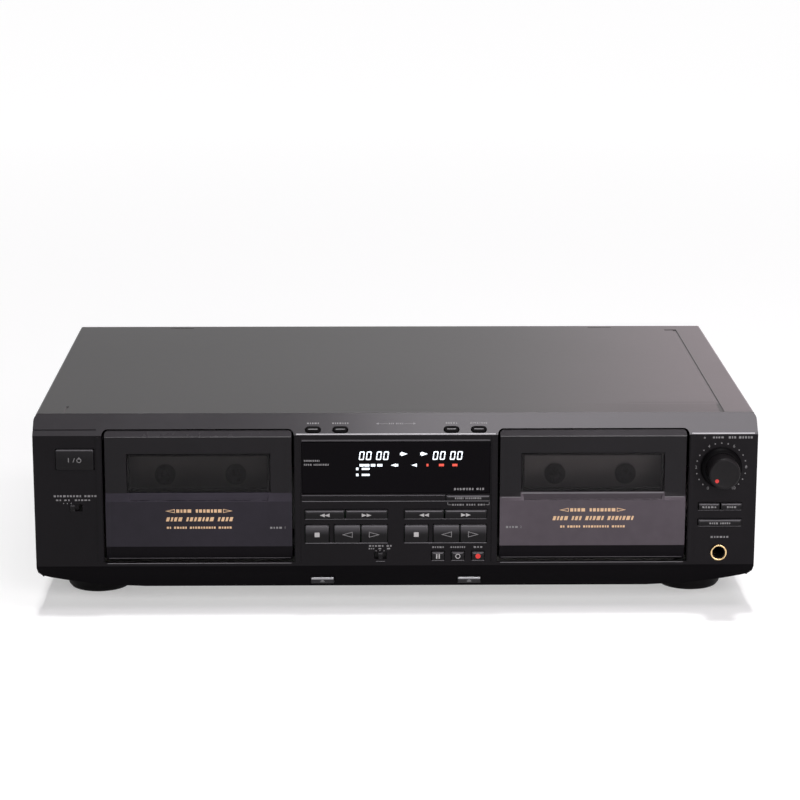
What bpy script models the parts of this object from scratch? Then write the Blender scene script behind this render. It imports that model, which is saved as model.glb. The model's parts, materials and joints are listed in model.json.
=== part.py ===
"""Twin cassette deck: front panel, cover, doors, keys and the mechanism behind them.

X runs to the right, Y to the back and Z up. The floor is at Z = 0. Every piece is placed
under one empty whose origin lies on the floor in the plane of the panel's flat face, so a
depth in this file is a distance behind that face.
"""
import math

import bmesh
import bpy
from mathutils import Vector

MM = 0.001

# Clearances
GAP = 0.3 * MM
OVERRUN = 2.0 * MM
KEY_CLEARANCE = 0.35 * MM
DOOR_GAP = 1.4 * MM

# Front panel wall and its slopes
PANEL_WALL = 2.4 * MM
BEVEL_RISE = 11.0 * MM
BEVEL_DEPTH = 11.0 * MM
CHIN_HEIGHT = 14.5 * MM
CHIN_DEPTH = 6.5 * MM
CHIN_CLEARANCE = 14.0 * MM
LIP_REACH = 5.0 * MM
CORNER_RADIUS = 3.5 * MM
PANEL_PROUD = 0.8 * MM
BOSS_HEIGHT = 5.0 * MM
BOSS_WIDTH = 8.0 * MM
BEVEL_GROOVE_RISE = 2.8 * MM
BEVEL_GROOVE_DEPTH = 0.7 * MM

# Columns of the face, from the middle outwards
CONSOLE_MIDDLE_MARGIN = 5.1 * MM
KEY_BLOCK_WIDTH = 49.0 * MM
CONSOLE_SIDE_MARGIN = 3.0 * MM
PILLAR_WIDTH = 2.9 * MM
PILLAR_SETBACK = 0.5 * MM
PILLAR_PROUD = 0.8 * MM
SIDE_SECTION_WIDTH = 40.2 * MM

# Rows of the console, from the top of the face downwards
DISPLAY_MARGIN = 4.0 * MM
DISPLAY_HEIGHT = 32.0 * MM
RAIL_MARGIN = 0.5 * MM
RAIL_HEIGHT = 3.5 * MM
RAIL_PROUD = 1.2 * MM
SEEK_MARGIN = 5.9 * MM
SEEK_KEY_HEIGHT = 5.1 * MM
PLAY_MARGIN = 4.2 * MM
PLAY_KEY_HEIGHT = 10.6 * MM
SMALL_MARGIN = 6.1 * MM
SMALL_KEY_HEIGHT = 5.0 * MM
BOTTOM_MARGIN = 3.6 * MM

# Keys
KEY_PROUD = 1.8 * MM
KEY_CHAMFER = 0.5 * MM
KEY_FLANGE = 0.9 * MM
KEY_FLANGE_WALL = 1.0 * MM
KEY_STEM_SIZE = 2.0 * MM
KEY_STEM_LENGTH = 2.6 * MM
KEY_TRAVEL = 1.2 * MM
POWER_WIDTH = 22.4 * MM
POWER_HEIGHT = 12.3 * MM
POWER_DROP = 14.4 * MM
POWER_TRAVEL = 3.0 * MM
EJECT_WIDTH = 13.8 * MM
EJECT_HEIGHT = 4.0 * MM
EJECT_DROP = 10.0 * MM
EJECT_TRAVEL = 3.0 * MM
EJECT_INSET = 3.1 * MM
THIN_KEY_WIDTH = 25.7 * MM
THIN_KEY_HEIGHT = 3.9 * MM
THIN_KEY_SPLIT = 0.9 * MM
FADER_DROP = 44.2 * MM
SYNCHRO_DROP = 54.2 * MM
DUBBING_KEY_HEIGHT = 2.9 * MM
DUBBING_KEY_WIDTH = 26.0 * MM
OVAL_KEY_WIDTH = 9.0 * MM
OVAL_KEY_HEIGHT = 4.2 * MM
OVAL_KEY_RISE = 2.7 * MM
OVAL_KEY_PROUD = 0.7 * MM
OVAL_KEY_INSET = 3.4 * MM
OVAL_KEY_PITCH = 16.2 * MM

# Each key's two ends, as shares of its key block's width
SEEK_SHARES = (("rewind_key", 0.0, 0.476), ("forward_key", 0.494, 1.0))
STOP_SHARES = (("stop_key", 0.0, 0.288),)
PLAY_SHARES = (("reverse_play_key", 0.352, 0.67), ("play_key", 0.681, 1.0))
PAUSE_SHARES = (("pause_key", 0.335, 0.484),)
MUTE_SHARES = (("record_mute_key", 0.576, 0.729),)
RECORD_SHARES = (("record_key", 0.824, 0.973),)

# Slide switches
SLOT_HEIGHT = 4.3 * MM
SLIDER_SIZE = 2.6 * MM
SLIDER_PROUD = 1.6 * MM
SLIDER_PITCH = 2.1 * MM
SLIDER_WALL = 1.0 * MM
DIRECTION_DROP = 44.2 * MM
NOISE_SLIDER_SHARE = 0.915

# Places of the side sections' pieces, as shares of the section's width from the door side
LEFT_COLUMN_SHARE = 0.391
RIGHT_COLUMN_SHARE = 0.472

# Level knob
KNOB_DROP = 20.3 * MM
KNOB_REACH = 16.0 * MM
KNOB_RADIUS = 9.5 * MM
KNOB_SKIRT_RADIUS = 12.4 * MM
KNOB_SKIRT_HEIGHT = 4.0 * MM
KNOB_SKIRT_EDGE = 1.2 * MM
KNOB_ROUNDING = 1.0 * MM
KNOB_SHAFT_RADIUS = 3.0 * MM
KNOB_SHAFT_LENGTH = 9.0 * MM

# Headphone socket
PHONES_DROP = 72.9 * MM
PHONES_BORE_RADIUS = 3.3 * MM
PHONES_RING_RADIUS = 4.9 * MM
PHONES_RING_PROUD = 1.2 * MM
PHONES_BODY_RADIUS = 4.0 * MM
PHONES_NUT_RADIUS = 6.0 * MM
PHONES_NUT_WALL = 2.0 * MM
PHONES_LENGTH = 26.0 * MM
PHONES_BORE_DEPTH = 23.0 * MM

# Display
DISPLAY_PANE = 1.3 * MM
DISPLAY_LEDGE = 2.0 * MM
DISPLAY_SIDE_MARGIN = 0.9 * MM
TUBE_DEPTH = 4.2 * MM
TUBE_MARGIN = 6.0 * MM

# The compact cassette that the doors take
CASSETTE_WIDTH = 100.4 * MM
CASSETTE_HEIGHT = 63.8 * MM
CASSETTE_THICKNESS = 12.0 * MM
CASSETTE_PLAY = 1.0 * MM
CASSETTE_HUB_SPACING = 42.5 * MM
CASSETTE_HUB_DROP = 29.5 * MM
CASSETTE_DROP = 0.2 * MM
CASSETTE_CAPSTAN_SPACING = 42.0 * MM
CASSETTE_CAPSTAN_RISE = 6.0 * MM

# Cassette doors
DOOR_MARGIN = 2.8 * MM
DOOR_WALL = 2.6 * MM
DOOR_DEPTH = 4.8 * MM
DOOR_RECESS = 1.2 * MM
DOOR_TOP_RISE = 2.3 * MM
DOOR_EDGE_DROP = 1.2 * MM
DOOR_OPENING_RISE = 3.2 * MM
DOOR_OPENING_RADIUS = 3.2 * MM
DOOR_CORNER_RADIUS = 2.2 * MM
DOOR_SILL = 2.0 * MM
DOOR_BOTTOM_GAP = 1.0 * MM
DOOR_CHIN_HEIGHT = 9.2 * MM
DOOR_CHIN_DEPTH = 3.2 * MM
LEDGE_DROP = 35.6 * MM
LEDGE_HEIGHT = 5.0 * MM
NOTCH_WIDTH = 84.0 * MM
NOTCH_SLANT = 1.2 * MM
NOTCH_HEIGHT = 4.4 * MM
NOTCH_DEPTH = 1.0 * MM
WINDOW_WIDTH = 85.4 * MM
WINDOW_HEIGHT = 23.8 * MM
WINDOW_DROP = 11.5 * MM
WINDOW_PANE = 1.2 * MM
WINDOW_LEDGE = 2.0 * MM

# Cassette holders behind the doors
HOLDER_WALL = 1.5 * MM
HOLDER_FRONT_WALL = 1.2 * MM
HOLDER_LIP_WALL = 1.0 * MM
HOLDER_LIP_WIDTH = 5.0 * MM
HOLDER_SHELF_WIDTH = 13.0 * MM
HOLDER_SHELF_WALL = 1.2 * MM
HOLDER_TOP_DROP = 8.0 * MM
HOLDER_WINDOW_MARGIN = 2.0 * MM
PIVOT_RADIUS = 2.0 * MM
PIVOT_DROP = 5.4 * MM
PIVOT_DEPTH = 14.0 * MM
PIVOT_WALL = 2.6 * MM

# Mechanism of each deck
FRAME_CLEARANCE = 2.3 * MM
FRAME_WALL = 1.5 * MM
FRAME_INNER_DEPTH = 14.5 * MM
FRAME_TOP_MARGIN = 8.0 * MM
FRAME_SIDE_MARGIN = 1.8 * MM
FRAME_BOTTOM_DROP = 15.4 * MM
EAR_WALL = 2.0 * MM
EAR_CLEARANCE = 2.0 * MM
LEG_WIDTH = 6.0 * MM
LEG_INSET = 2.0 * MM
MOTOR_RADIUS = 14.0 * MM
MOTOR_LENGTH = 20.0 * MM
MOTOR_RISE = 6.0 * MM
SPINDLE_REACH = 7.2 * MM
SPINDLE_RADIUS = 3.6 * MM
SPINDLE_VALLEY_SHARE = 0.72
SPINDLE_TIP_RADIUS = 1.6 * MM
SPINDLE_TIP_LENGTH = 1.6 * MM
SPINDLE_DISC_RADIUS = 6.4 * MM
SPINDLE_DISC_WALL = 1.4 * MM
SPINDLE_SHAFT_RADIUS = 2.4 * MM
REEL_TABLE_RADIUS = 14.0 * MM
REEL_TABLE_WALL = 2.4 * MM
CAPSTAN_RADIUS = 1.0 * MM
CAPSTAN_REACH = 6.7 * MM
FLYWHEEL_RADIUS = 18.0 * MM
FLYWHEEL_WALL = 7.0 * MM
FLYWHEEL_CLEARANCE = 1.6 * MM
CARRIAGE_WALL = 1.5 * MM
CARRIAGE_WIDTH = 60.0 * MM
CARRIAGE_HEIGHT = 13.0 * MM
CARRIAGE_TRAVEL = 4.0 * MM
HEAD_WIDTH = 18.0 * MM
HEAD_HEIGHT = 7.0 * MM
HEAD_TIP_CLEARANCE = 2.7 * MM
ROLLER_RADIUS = 4.5 * MM
ROLLER_LENGTH = 8.0 * MM
ROLLER_GAP = 0.9 * MM

# Case
CASE_DEPTH = 264.0 * MM
COVER_WALL = 1.0 * MM
COVER_BEND = 1.6 * MM
COVER_SIDE_RAISE = 3.0 * MM
GROOVE_WIDTH = 2.4 * MM
GROOVE_DEPTH = 0.5 * MM
GROOVE_INSET = 18.0 * MM
GROOVE_REAR = 13.0 * MM
GROOVE_TURN = 8.0 * MM
NICK_FRONT = 13.0 * MM
NICK_LENGTH = 16.0 * MM
NICK_WIDTH = 1.4 * MM
COVER_SLOT_OFFSET = 144.0 * MM
COVER_SLOT_LENGTH = 16.0 * MM
COVER_SLOT_WIDTH = 1.2 * MM
COVER_SLOT_REAR = 5.0 * MM
TRAY_RAISE = 5.0 * MM
TRAY_WALL = 1.0 * MM
TRAY_FRONT_HEIGHT = 10.0 * MM
TRAY_SIDE_HEIGHT = 15.0 * MM
TRAY_VENT_COUNT = 9
TRAY_VENT_LENGTH = 40.0 * MM
TRAY_VENT_WIDTH = 3.0 * MM
TRAY_VENT_PITCH = 9.0 * MM
REAR_WALL = 1.0 * MM
REAR_SETBACK = 0.6 * MM
REAR_VENT_COUNT = 10
REAR_VENT_HEIGHT = 30.0 * MM
REAR_VENT_WIDTH = 3.0 * MM
REAR_VENT_PITCH = 8.0 * MM
REAR_VENT_OFFSET = 30.0 * MM
FOOT_RADIUS = 22.0 * MM
FOOT_WAIST_RADIUS = 19.5 * MM
FOOT_BASE_RADIUS = 18.0 * MM
FOOT_DISH_RADIUS = 12.0 * MM
FOOT_DISH_DEPTH = 1.5 * MM
FOOT_ROUNDING = 2.0 * MM
FOOT_RIM = 3.5 * MM
FOOT_INSET = 32.0 * MM
FOOT_SETBACK = 58.0 * MM

# Rear connections
JACK_RADIUS = 4.15 * MM
JACK_BORE_RADIUS = 1.8 * MM
JACK_BORE_DEPTH = 7.0 * MM
JACK_REACH = 10.0 * MM
JACK_PITCH_ACROSS = 16.0 * MM
JACK_PITCH_UP = 15.0 * MM
JACK_PLATE_MARGIN = 8.0 * MM
JACK_PLATE_WALL = 1.6 * MM
JACK_BODY_DEPTH = 10.0 * MM
JACK_BODY_MARGIN = 5.0 * MM
JACK_OFFSET = 120.0 * MM
JACK_RISE = 42.0 * MM
GLAND_OFFSET = 165.0 * MM
GLAND_RISE = 30.0 * MM
GLAND_BORE_RADIUS = 3.5 * MM
GLAND_NECK_RADIUS = 5.5 * MM
GLAND_FLANGE_RADIUS = 7.5 * MM
GLAND_FLANGE_WALL = 2.0 * MM
GLAND_REACH = 6.0 * MM

# Boards and transformer
BOARD_WALL = 1.6 * MM
STANDOFF_RADIUS = 3.0 * MM
STANDOFF_HEIGHT = 6.7 * MM
STANDOFF_INSET = 8.0 * MM
MAIN_BOARD_WIDTH = 300.0 * MM
MAIN_BOARD_DEPTH = 150.0 * MM
MAIN_BOARD_CLEARANCE = 18.0 * MM
MAIN_BOARD_SHIFT = 40.0 * MM
HEAT_SINK_WIDTH = 60.0 * MM
HEAT_SINK_DEPTH = 12.0 * MM
HEAT_SINK_HEIGHT = 30.0 * MM
CAPACITOR_RADIUS = 8.0 * MM
CAPACITOR_HEIGHT = 25.0 * MM
CAPACITOR_PITCH = 26.0 * MM
CONTROL_BOARD_MARGIN = 3.0 * MM
CONTROL_STANDOFF_HEIGHT = 6.0 * MM
CONTROL_STANDOFF_WIDTH = 1.8 * MM
TRANSFORMER_WIDTH = 58.0 * MM
TRANSFORMER_DEPTH = 48.0 * MM
TRANSFORMER_HEIGHT = 44.0 * MM
TRANSFORMER_COIL_REACH = 6.0 * MM
TRANSFORMER_COIL_SHARE = 0.7
TRANSFORMER_INSET = 16.0 * MM

# Derived heights
CHIN_BOTTOM = CHIN_CLEARANCE
FACE_BOTTOM = CHIN_BOTTOM + CHIN_HEIGHT
FACE_HEIGHT = (DISPLAY_MARGIN + DISPLAY_HEIGHT + RAIL_MARGIN + RAIL_HEIGHT + SEEK_MARGIN
               + SEEK_KEY_HEIGHT + PLAY_MARGIN + PLAY_KEY_HEIGHT + SMALL_MARGIN
               + SMALL_KEY_HEIGHT + BOTTOM_MARGIN)
FACE_TOP = FACE_BOTTOM + FACE_HEIGHT
CASE_TOP = FACE_TOP + BEVEL_RISE
DISPLAY_TOP = FACE_TOP - DISPLAY_MARGIN
DISPLAY_BOTTOM = DISPLAY_TOP - DISPLAY_HEIGHT
RAIL_TOP = DISPLAY_BOTTOM - RAIL_MARGIN
RAIL_BOTTOM = RAIL_TOP - RAIL_HEIGHT
SEEK_TOP = RAIL_BOTTOM - SEEK_MARGIN
PLAY_TOP = SEEK_TOP - SEEK_KEY_HEIGHT - PLAY_MARGIN
SMALL_TOP = PLAY_TOP - PLAY_KEY_HEIGHT - SMALL_MARGIN
TRAY_BOTTOM = CHIN_BOTTOM + TRAY_RAISE
TRAY_FLOOR = TRAY_BOTTOM + TRAY_WALL
LIP_TOP = CASE_TOP - COVER_WALL - GAP

# Derived widths
CONSOLE_HALF = CONSOLE_MIDDLE_MARGIN + KEY_BLOCK_WIDTH + CONSOLE_SIDE_MARGIN
DOOR_WIDTH = CASSETTE_WIDTH + 2 * (CASSETTE_PLAY + HOLDER_WALL + DOOR_MARGIN)
OPENING_WIDTH = DOOR_WIDTH + 2 * DOOR_GAP
OPENING_INNER = CONSOLE_HALF + PILLAR_WIDTH + PILLAR_SETBACK
DOOR_CENTRE = OPENING_INNER + OPENING_WIDTH / 2
OPENING_OUTER = OPENING_INNER + OPENING_WIDTH
PANEL_HALF = OPENING_OUTER + PILLAR_SETBACK + SIDE_SECTION_WIDTH
COVER_HALF = PANEL_HALF - PANEL_PROUD
TRAY_HALF = COVER_HALF - COVER_WALL - 2 * GAP
LIP_HALF = COVER_HALF - COVER_WALL - GAP

# Derived depths
HOLDER_FRONT = DOOR_DEPTH + GAP
BAY_FRONT = HOLDER_FRONT + HOLDER_FRONT_WALL
BAY_BACK = BAY_FRONT + CASSETTE_THICKNESS + GAP
HOLDER_BACK = BAY_BACK + HOLDER_LIP_WALL
FRAME_FRONT = HOLDER_BACK + FRAME_CLEARANCE
FRAME_INNER_FRONT = FRAME_FRONT + FRAME_WALL
FRAME_INNER_BACK = FRAME_INNER_FRONT + FRAME_INNER_DEPTH
FRAME_BACK = FRAME_INNER_BACK + FRAME_WALL
MOTOR_BACK = FRAME_BACK + MOTOR_LENGTH
LIP_BACK = BEVEL_DEPTH + LIP_REACH
TRAY_FRONT = LIP_BACK + GAP
KEY_FLANGE_FRONT = PANEL_WALL + GAP
KEY_FLANGE_BACK = KEY_FLANGE_FRONT + KEY_FLANGE_WALL
CONTROL_BOARD_FRONT = KEY_FLANGE_BACK + KEY_STEM_LENGTH + KEY_TRAVEL + KEY_CLEARANCE
REAR_BACK = CASE_DEPTH - REAR_SETBACK
REAR_FRONT = REAR_BACK - REAR_WALL
TRAY_BACK = REAR_FRONT - GAP

# Derived places inside the decks
CASSETTE_TOP = FACE_TOP + CASSETTE_DROP
CASSETTE_BOTTOM = CASSETTE_TOP - CASSETTE_HEIGHT
HUB_HEIGHT = CASSETTE_TOP - CASSETTE_HUB_DROP
CAPSTAN_HEIGHT = CASSETTE_BOTTOM + CASSETTE_CAPSTAN_RISE
PIVOT_HEIGHT = CASSETTE_BOTTOM - PIVOT_DROP
HOLDER_TOP = CASSETTE_TOP - HOLDER_TOP_DROP
SHELF_TOP = CASSETTE_BOTTOM - GAP
FRAME_BOTTOM = CASSETTE_BOTTOM - FRAME_BOTTOM_DROP
FRAME_TOP = HUB_HEIGHT + REEL_TABLE_RADIUS + FRAME_TOP_MARGIN
BAY_HALF = CASSETTE_WIDTH / 2 + CASSETTE_PLAY
HOLDER_HALF = BAY_HALF + HOLDER_WALL
EAR_INNER = HOLDER_HALF + EAR_CLEARANCE
EAR_OUTER = EAR_INNER + EAR_WALL
FRAME_HALF = HOLDER_HALF - FRAME_SIDE_MARGIN + GAP

# The deck stands with its box centred front to back
TOTAL_DEPTH = KNOB_REACH + CASE_DEPTH + JACK_REACH
FACE_Y = KNOB_REACH - TOTAL_DEPTH / 2

DECKS = (("a", -1), ("b", 1))
ROUND_COUNT = 40
SMALL_ROUND_COUNT = 20


def clear_scene():
    """Remove every object that the scene holds."""
    for item in list(bpy.data.objects):
        bpy.data.objects.remove(item, do_unlink=True)


def finish(name, colour, roughness, metallic=0.0):
    """Make a Principled material."""
    material = bpy.data.materials.new(name)
    material.use_nodes = True
    shader = material.node_tree.nodes["Principled BSDF"]
    shader.inputs["Base Color"].default_value = (*colour, 1.0)
    shader.inputs["Roughness"].default_value = roughness
    shader.inputs["Metallic"].default_value = metallic
    return material


def inset(outline, distance):
    """Move each edge of an anticlockwise outline inward by a distance."""
    corners = [Vector(corner) for corner in outline]
    moved = []
    for index, corner in enumerate(corners):
        before = (corner - corners[index - 1]).normalized()
        after = (corners[(index + 1) % len(corners)] - corner).normalized()
        first = Vector((-before.y, before.x))
        second = Vector((-after.y, after.x))
        moved.append(corner + (first + second) * (distance / (1 + first.dot(second))))
    return moved


def arc(centre, radius, start, end, steps):
    """Points along an arc in a plane, with both ends; the angles are in degrees."""
    points = []
    for step in range(steps + 1):
        angle = math.radians(start + (end - start) * step / steps)
        points.append((centre[0] + radius * math.cos(angle), centre[1] + radius * math.sin(angle)))
    return points


def add_rings(mesh, rings):
    """Join equal rings of points into one closed body."""
    layers = [[mesh.verts.new(point) for point in ring] for ring in rings]
    count = len(layers[0])
    faces = []
    for near, far in zip(layers, layers[1:]):
        for index in range(count):
            after = (index + 1) % count
            faces.append(mesh.faces.new((near[index], near[after], far[after], far[index])))
    faces.append(mesh.faces.new(layers[0][::-1]))
    faces.append(mesh.faces.new(layers[-1]))
    bmesh.ops.recalc_face_normals(mesh, faces=faces)


def add_prism(mesh, outline, axis, low, high):
    """Extrude a flat outline along an axis."""
    places = {"X": lambda a, b, c: (c, a, b), "Y": lambda a, b, c: (a, c, b),
              "Z": lambda a, b, c: (a, b, c)}
    place = places[axis]
    add_rings(mesh, [[place(a, b, c) for a, b in outline] for c in (low, high)])


def add_block(mesh, x_pair, y_pair, z_pair):
    """Add a box from its two ends along each axis."""
    low, high = x_pair
    outline = [(y_pair[0], z_pair[0]), (y_pair[1], z_pair[0]),
               (y_pair[1], z_pair[1]), (y_pair[0], z_pair[1])]
    add_prism(mesh, outline, "X", low, high)


def add_turned(mesh, profile, centre, axis, count):
    """Turn a profile of (radius, place along the axis) about an axis through a centre."""
    rings = []
    for radius, along in profile:
        ring = []
        for step in range(count):
            angle = 2 * math.pi * step / count
            across = radius * math.cos(angle)
            up = radius * math.sin(angle)
            if axis == "X":
                offset = (along, across, up)
            elif axis == "Y":
                offset = (across, along, up)
            else:
                offset = (across, up, along)
            ring.append(Vector(centre) + Vector(offset))
        rings.append(ring)
    add_rings(mesh, rings)


def rectangle_ring(depth, half_width, half_height):
    """A rectangle that faces the front, at a depth."""
    return [(-half_width, depth, -half_height), (half_width, depth, -half_height),
            (half_width, depth, half_height), (-half_width, depth, half_height)]


def oval_ring(depth, half_width, half_height):
    """A rectangle with round ends that faces the front, at a depth."""
    reach = half_width - half_height
    outline = arc((reach, 0), half_height, -90, 90, 6)
    outline += arc((-reach, 0), half_height, 90, 270, 6)
    return [(across, depth, up) for across, up in outline]


def new_object(name, mesh, place, parent, turn=0.0):
    """Turn a bmesh into a named object at a place under its parent."""
    data = bpy.data.meshes.new(name)
    bmesh.ops.translate(mesh, verts=mesh.verts, vec=-Vector(place) if turn == 0.0 else Vector())
    mesh.to_mesh(data)
    mesh.free()
    item = bpy.data.objects.new(name, data)
    item.location = place
    item.rotation_euler = (turn, 0.0, 0.0)
    item.parent = parent
    bpy.context.scene.collection.objects.link(item)
    return item


def piece(name, mesh, material, parent, place=(0, 0, 0), turn=0.0, smooth=False):
    """Make one sub-part; its mesh is given in the deck's frame unless it is turned."""
    item = new_object(name, mesh, place, parent, turn)
    item.data.materials.append(material)
    if smooth:
        item.data.shade_smooth()
        item.data.set_sharp_from_angle(angle=math.radians(35))
    return item


def shape_with(item, mesh, operation, place=(0, 0, 0), turn=0.0):
    """Join a body to an object, or cut it away, with a Boolean."""
    tool = new_object(item.name + "_tool", mesh, place, item.parent, turn)
    tool.hide_render = True
    tool.display_type = "WIRE"
    modifier = item.modifiers.new("shape", "BOOLEAN")
    modifier.operation = operation
    modifier.solver = "EXACT"
    modifier.object = tool


def key_rings(half_width, half_height, proud, ring, wall=PANEL_WALL):
    """A key from its cap to the end of its stem, with the flange that keeps it in the panel."""
    stem = KEY_STEM_SIZE / 2
    flange_front = wall + GAP
    flange_back = flange_front + KEY_FLANGE_WALL
    return [
        ring(-proud, half_width - KEY_CHAMFER, half_height - KEY_CHAMFER),
        ring(-proud + KEY_CHAMFER, half_width, half_height),
        ring(flange_front, half_width, half_height),
        ring(flange_front, half_width, half_height + KEY_FLANGE),
        ring(flange_back, half_width, half_height + KEY_FLANGE),
        ring(flange_back, stem + KEY_CHAMFER, stem),
        ring(flange_back + KEY_STEM_LENGTH, stem + KEY_CHAMFER, stem),
    ]


def make_key(name, x_pair, z_pair, material, parent, proud=KEY_PROUD):
    """Make a rectangular key of the flat face."""
    half_width = (x_pair[1] - x_pair[0]) / 2
    half_height = (z_pair[1] - z_pair[0]) / 2
    centre = ((x_pair[0] + x_pair[1]) / 2, 0.0, (z_pair[0] + z_pair[1]) / 2)
    mesh = bmesh.new()
    add_rings(mesh, key_rings(half_width, half_height, proud, rectangle_ring))
    bmesh.ops.translate(mesh, verts=mesh.verts, vec=centre)
    return piece(name, mesh, material, parent, centre)


def block_left(side):
    """The left end of a deck's key block."""
    if side < 0:
        return -CONSOLE_MIDDLE_MARGIN - KEY_BLOCK_WIDTH
    return CONSOLE_MIDDLE_MARGIN


def key_groups():
    """Keys of the console that share an opening: name, both ends across, top and bottom."""
    rows = []
    for label, side in DECKS:
        left = block_left(side)
        for shares, top, height in ((SEEK_SHARES, SEEK_TOP, SEEK_KEY_HEIGHT),
                                    (STOP_SHARES, PLAY_TOP, PLAY_KEY_HEIGHT),
                                    (PLAY_SHARES, PLAY_TOP, PLAY_KEY_HEIGHT)):
            rows.append((left, "_" + label, shares, top, height))
    for shares in (PAUSE_SHARES, MUTE_SHARES, RECORD_SHARES):
        rows.append((block_left(1), "", shares, SMALL_TOP, SMALL_KEY_HEIGHT))
    groups = []
    for left, ending, shares, top, height in rows:
        groups.append([(name + ending, left + start * KEY_BLOCK_WIDTH,
                        left + end * KEY_BLOCK_WIDTH, top - height, top)
                       for name, start, end in shares])
    return groups


def side_centre(side):
    """The middle of a side section's column of controls."""
    share = LEFT_COLUMN_SHARE if side < 0 else RIGHT_COLUMN_SHARE
    return side * (OPENING_OUTER + share * (PANEL_HALF - OPENING_OUTER))


def side_keys():
    """Keys of the two side sections and the rail: name, both ends across, both heights."""
    left = side_centre(-1)
    right = side_centre(1)
    half = THIN_KEY_WIDTH / 2
    split = THIN_KEY_SPLIT / 2
    power_middle = FACE_TOP - POWER_DROP
    fader_middle = FACE_TOP - FADER_DROP
    synchro_middle = FACE_TOP - SYNCHRO_DROP
    rail_middle = (RAIL_TOP + RAIL_BOTTOM) / 2
    dubbing_right = CONSOLE_MIDDLE_MARGIN + KEY_BLOCK_WIDTH + KEY_PROUD
    thin = THIN_KEY_HEIGHT / 2
    return [
        ("power_key", left - POWER_WIDTH / 2, left + POWER_WIDTH / 2,
         power_middle - POWER_HEIGHT / 2, power_middle + POWER_HEIGHT / 2),
        ("fader_key", right - half, right - split, fader_middle - thin, fader_middle + thin),
        ("level_hold_key", right + split, right + half, fader_middle - thin,
         fader_middle + thin),
        ("synchro_key", right - half, right + half, synchro_middle - thin,
         synchro_middle + thin),
        ("dubbing_key", dubbing_right - DUBBING_KEY_WIDTH, dubbing_right,
         rail_middle - DUBBING_KEY_HEIGHT / 2, rail_middle + DUBBING_KEY_HEIGHT / 2),
    ]


def slide_switches():
    """Each slide switch: name, place of the middle mark, height, rest step, steps each way."""
    return [
        ("direction_slider", side_centre(-1), FACE_TOP - DIRECTION_DROP, -1),
        ("noise_reduction_slider", block_left(-1) + NOISE_SLIDER_SHARE * KEY_BLOCK_WIDTH,
         SMALL_TOP - SMALL_KEY_HEIGHT / 2, 0),
    ]


def oval_key_places():
    """The middle of each oval key across the bevel."""
    places = []
    for side in (-1, 1):
        outer = side * (CONSOLE_HALF - OVAL_KEY_INSET - OVAL_KEY_WIDTH / 2)
        inner = outer - side * OVAL_KEY_PITCH
        places.extend(sorted((outer, inner)))
    return places


def bevel_turn():
    """How far the bevel leans back from the flat face, in radians."""
    return -math.atan2(BEVEL_DEPTH, BEVEL_RISE)


def bevel_place(across):
    """The place of an oval key's middle on the bevel."""
    return (across, OVAL_KEY_RISE * BEVEL_DEPTH / BEVEL_RISE, FACE_TOP + OVAL_KEY_RISE)


def eject_places():
    """The middle of each eject key on the chin."""
    depth = CHIN_DEPTH * EJECT_DROP / CHIN_HEIGHT
    inner = CONSOLE_HALF - EJECT_INSET - EJECT_WIDTH / 2
    right = CONSOLE_MIDDLE_MARGIN + KEY_BLOCK_WIDTH - EJECT_INSET - EJECT_WIDTH / 2
    return (("a", (-inner + CONSOLE_SIDE_MARGIN, depth, FACE_BOTTOM - EJECT_DROP)),
            ("b", (right, depth, FACE_BOTTOM - EJECT_DROP)))


def panel_profile(back):
    """The panel's section, from the chin's lower edge anticlockwise."""
    return [(CHIN_DEPTH, CHIN_BOTTOM), (back, CHIN_BOTTOM), (back, CASE_TOP),
            (BEVEL_DEPTH, CASE_TOP), (0.0, FACE_TOP), (0.0, FACE_BOTTOM)]


# Right end of the chin, as shares of half the panel's width and of the chin's height
CHIN_END_SHARES = ((0.70, 0.0), (0.82, 0.1), (0.916, 0.32), (0.962, 0.46), (0.986, 0.56),
                   (0.997, 0.7), (1.0, 0.9))


def panel_front_outline():
    """The panel seen from the front: round top corners and raised ends of the chin."""
    right = [(across * PANEL_HALF, CHIN_BOTTOM + up * CHIN_HEIGHT)
             for across, up in CHIN_END_SHARES]
    corner = (PANEL_HALF - CORNER_RADIUS, CASE_TOP - CORNER_RADIUS)
    right += arc(corner, CORNER_RADIUS, 0, 60, 4)
    right.append((corner[0], CASE_TOP + OVERRUN))
    left = [(-across, up) for across, up in reversed(right)]
    return right + left


def rounded_top(left, right, low, high, radius):
    """A rectangle with round upper corners, anticlockwise from its lower left corner."""
    outline = [(left, low), (right, low)]
    outline += arc((right - radius, high - radius), radius, 0, 90, 4)
    outline += arc((left + radius, high - radius), radius, 90, 180, 4)
    return outline


def panel_groove(mesh):
    """The groove across the bevel at the left end of the panel."""
    lean = BEVEL_DEPTH / BEVEL_RISE
    middle = (BEVEL_GROOVE_RISE * lean, FACE_TOP + BEVEL_GROOVE_RISE)
    reach = BEVEL_GROOVE_DEPTH
    outline = [(middle[0] - reach, middle[1]), (middle[0], middle[1] - reach),
               (middle[0] + reach, middle[1]), (middle[0], middle[1] + reach)]
    right = -(OPENING_OUTER + PILLAR_SETBACK + PILLAR_WIDTH)
    add_prism(mesh, outline, "X", -PANEL_HALF - OVERRUN, right)


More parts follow.
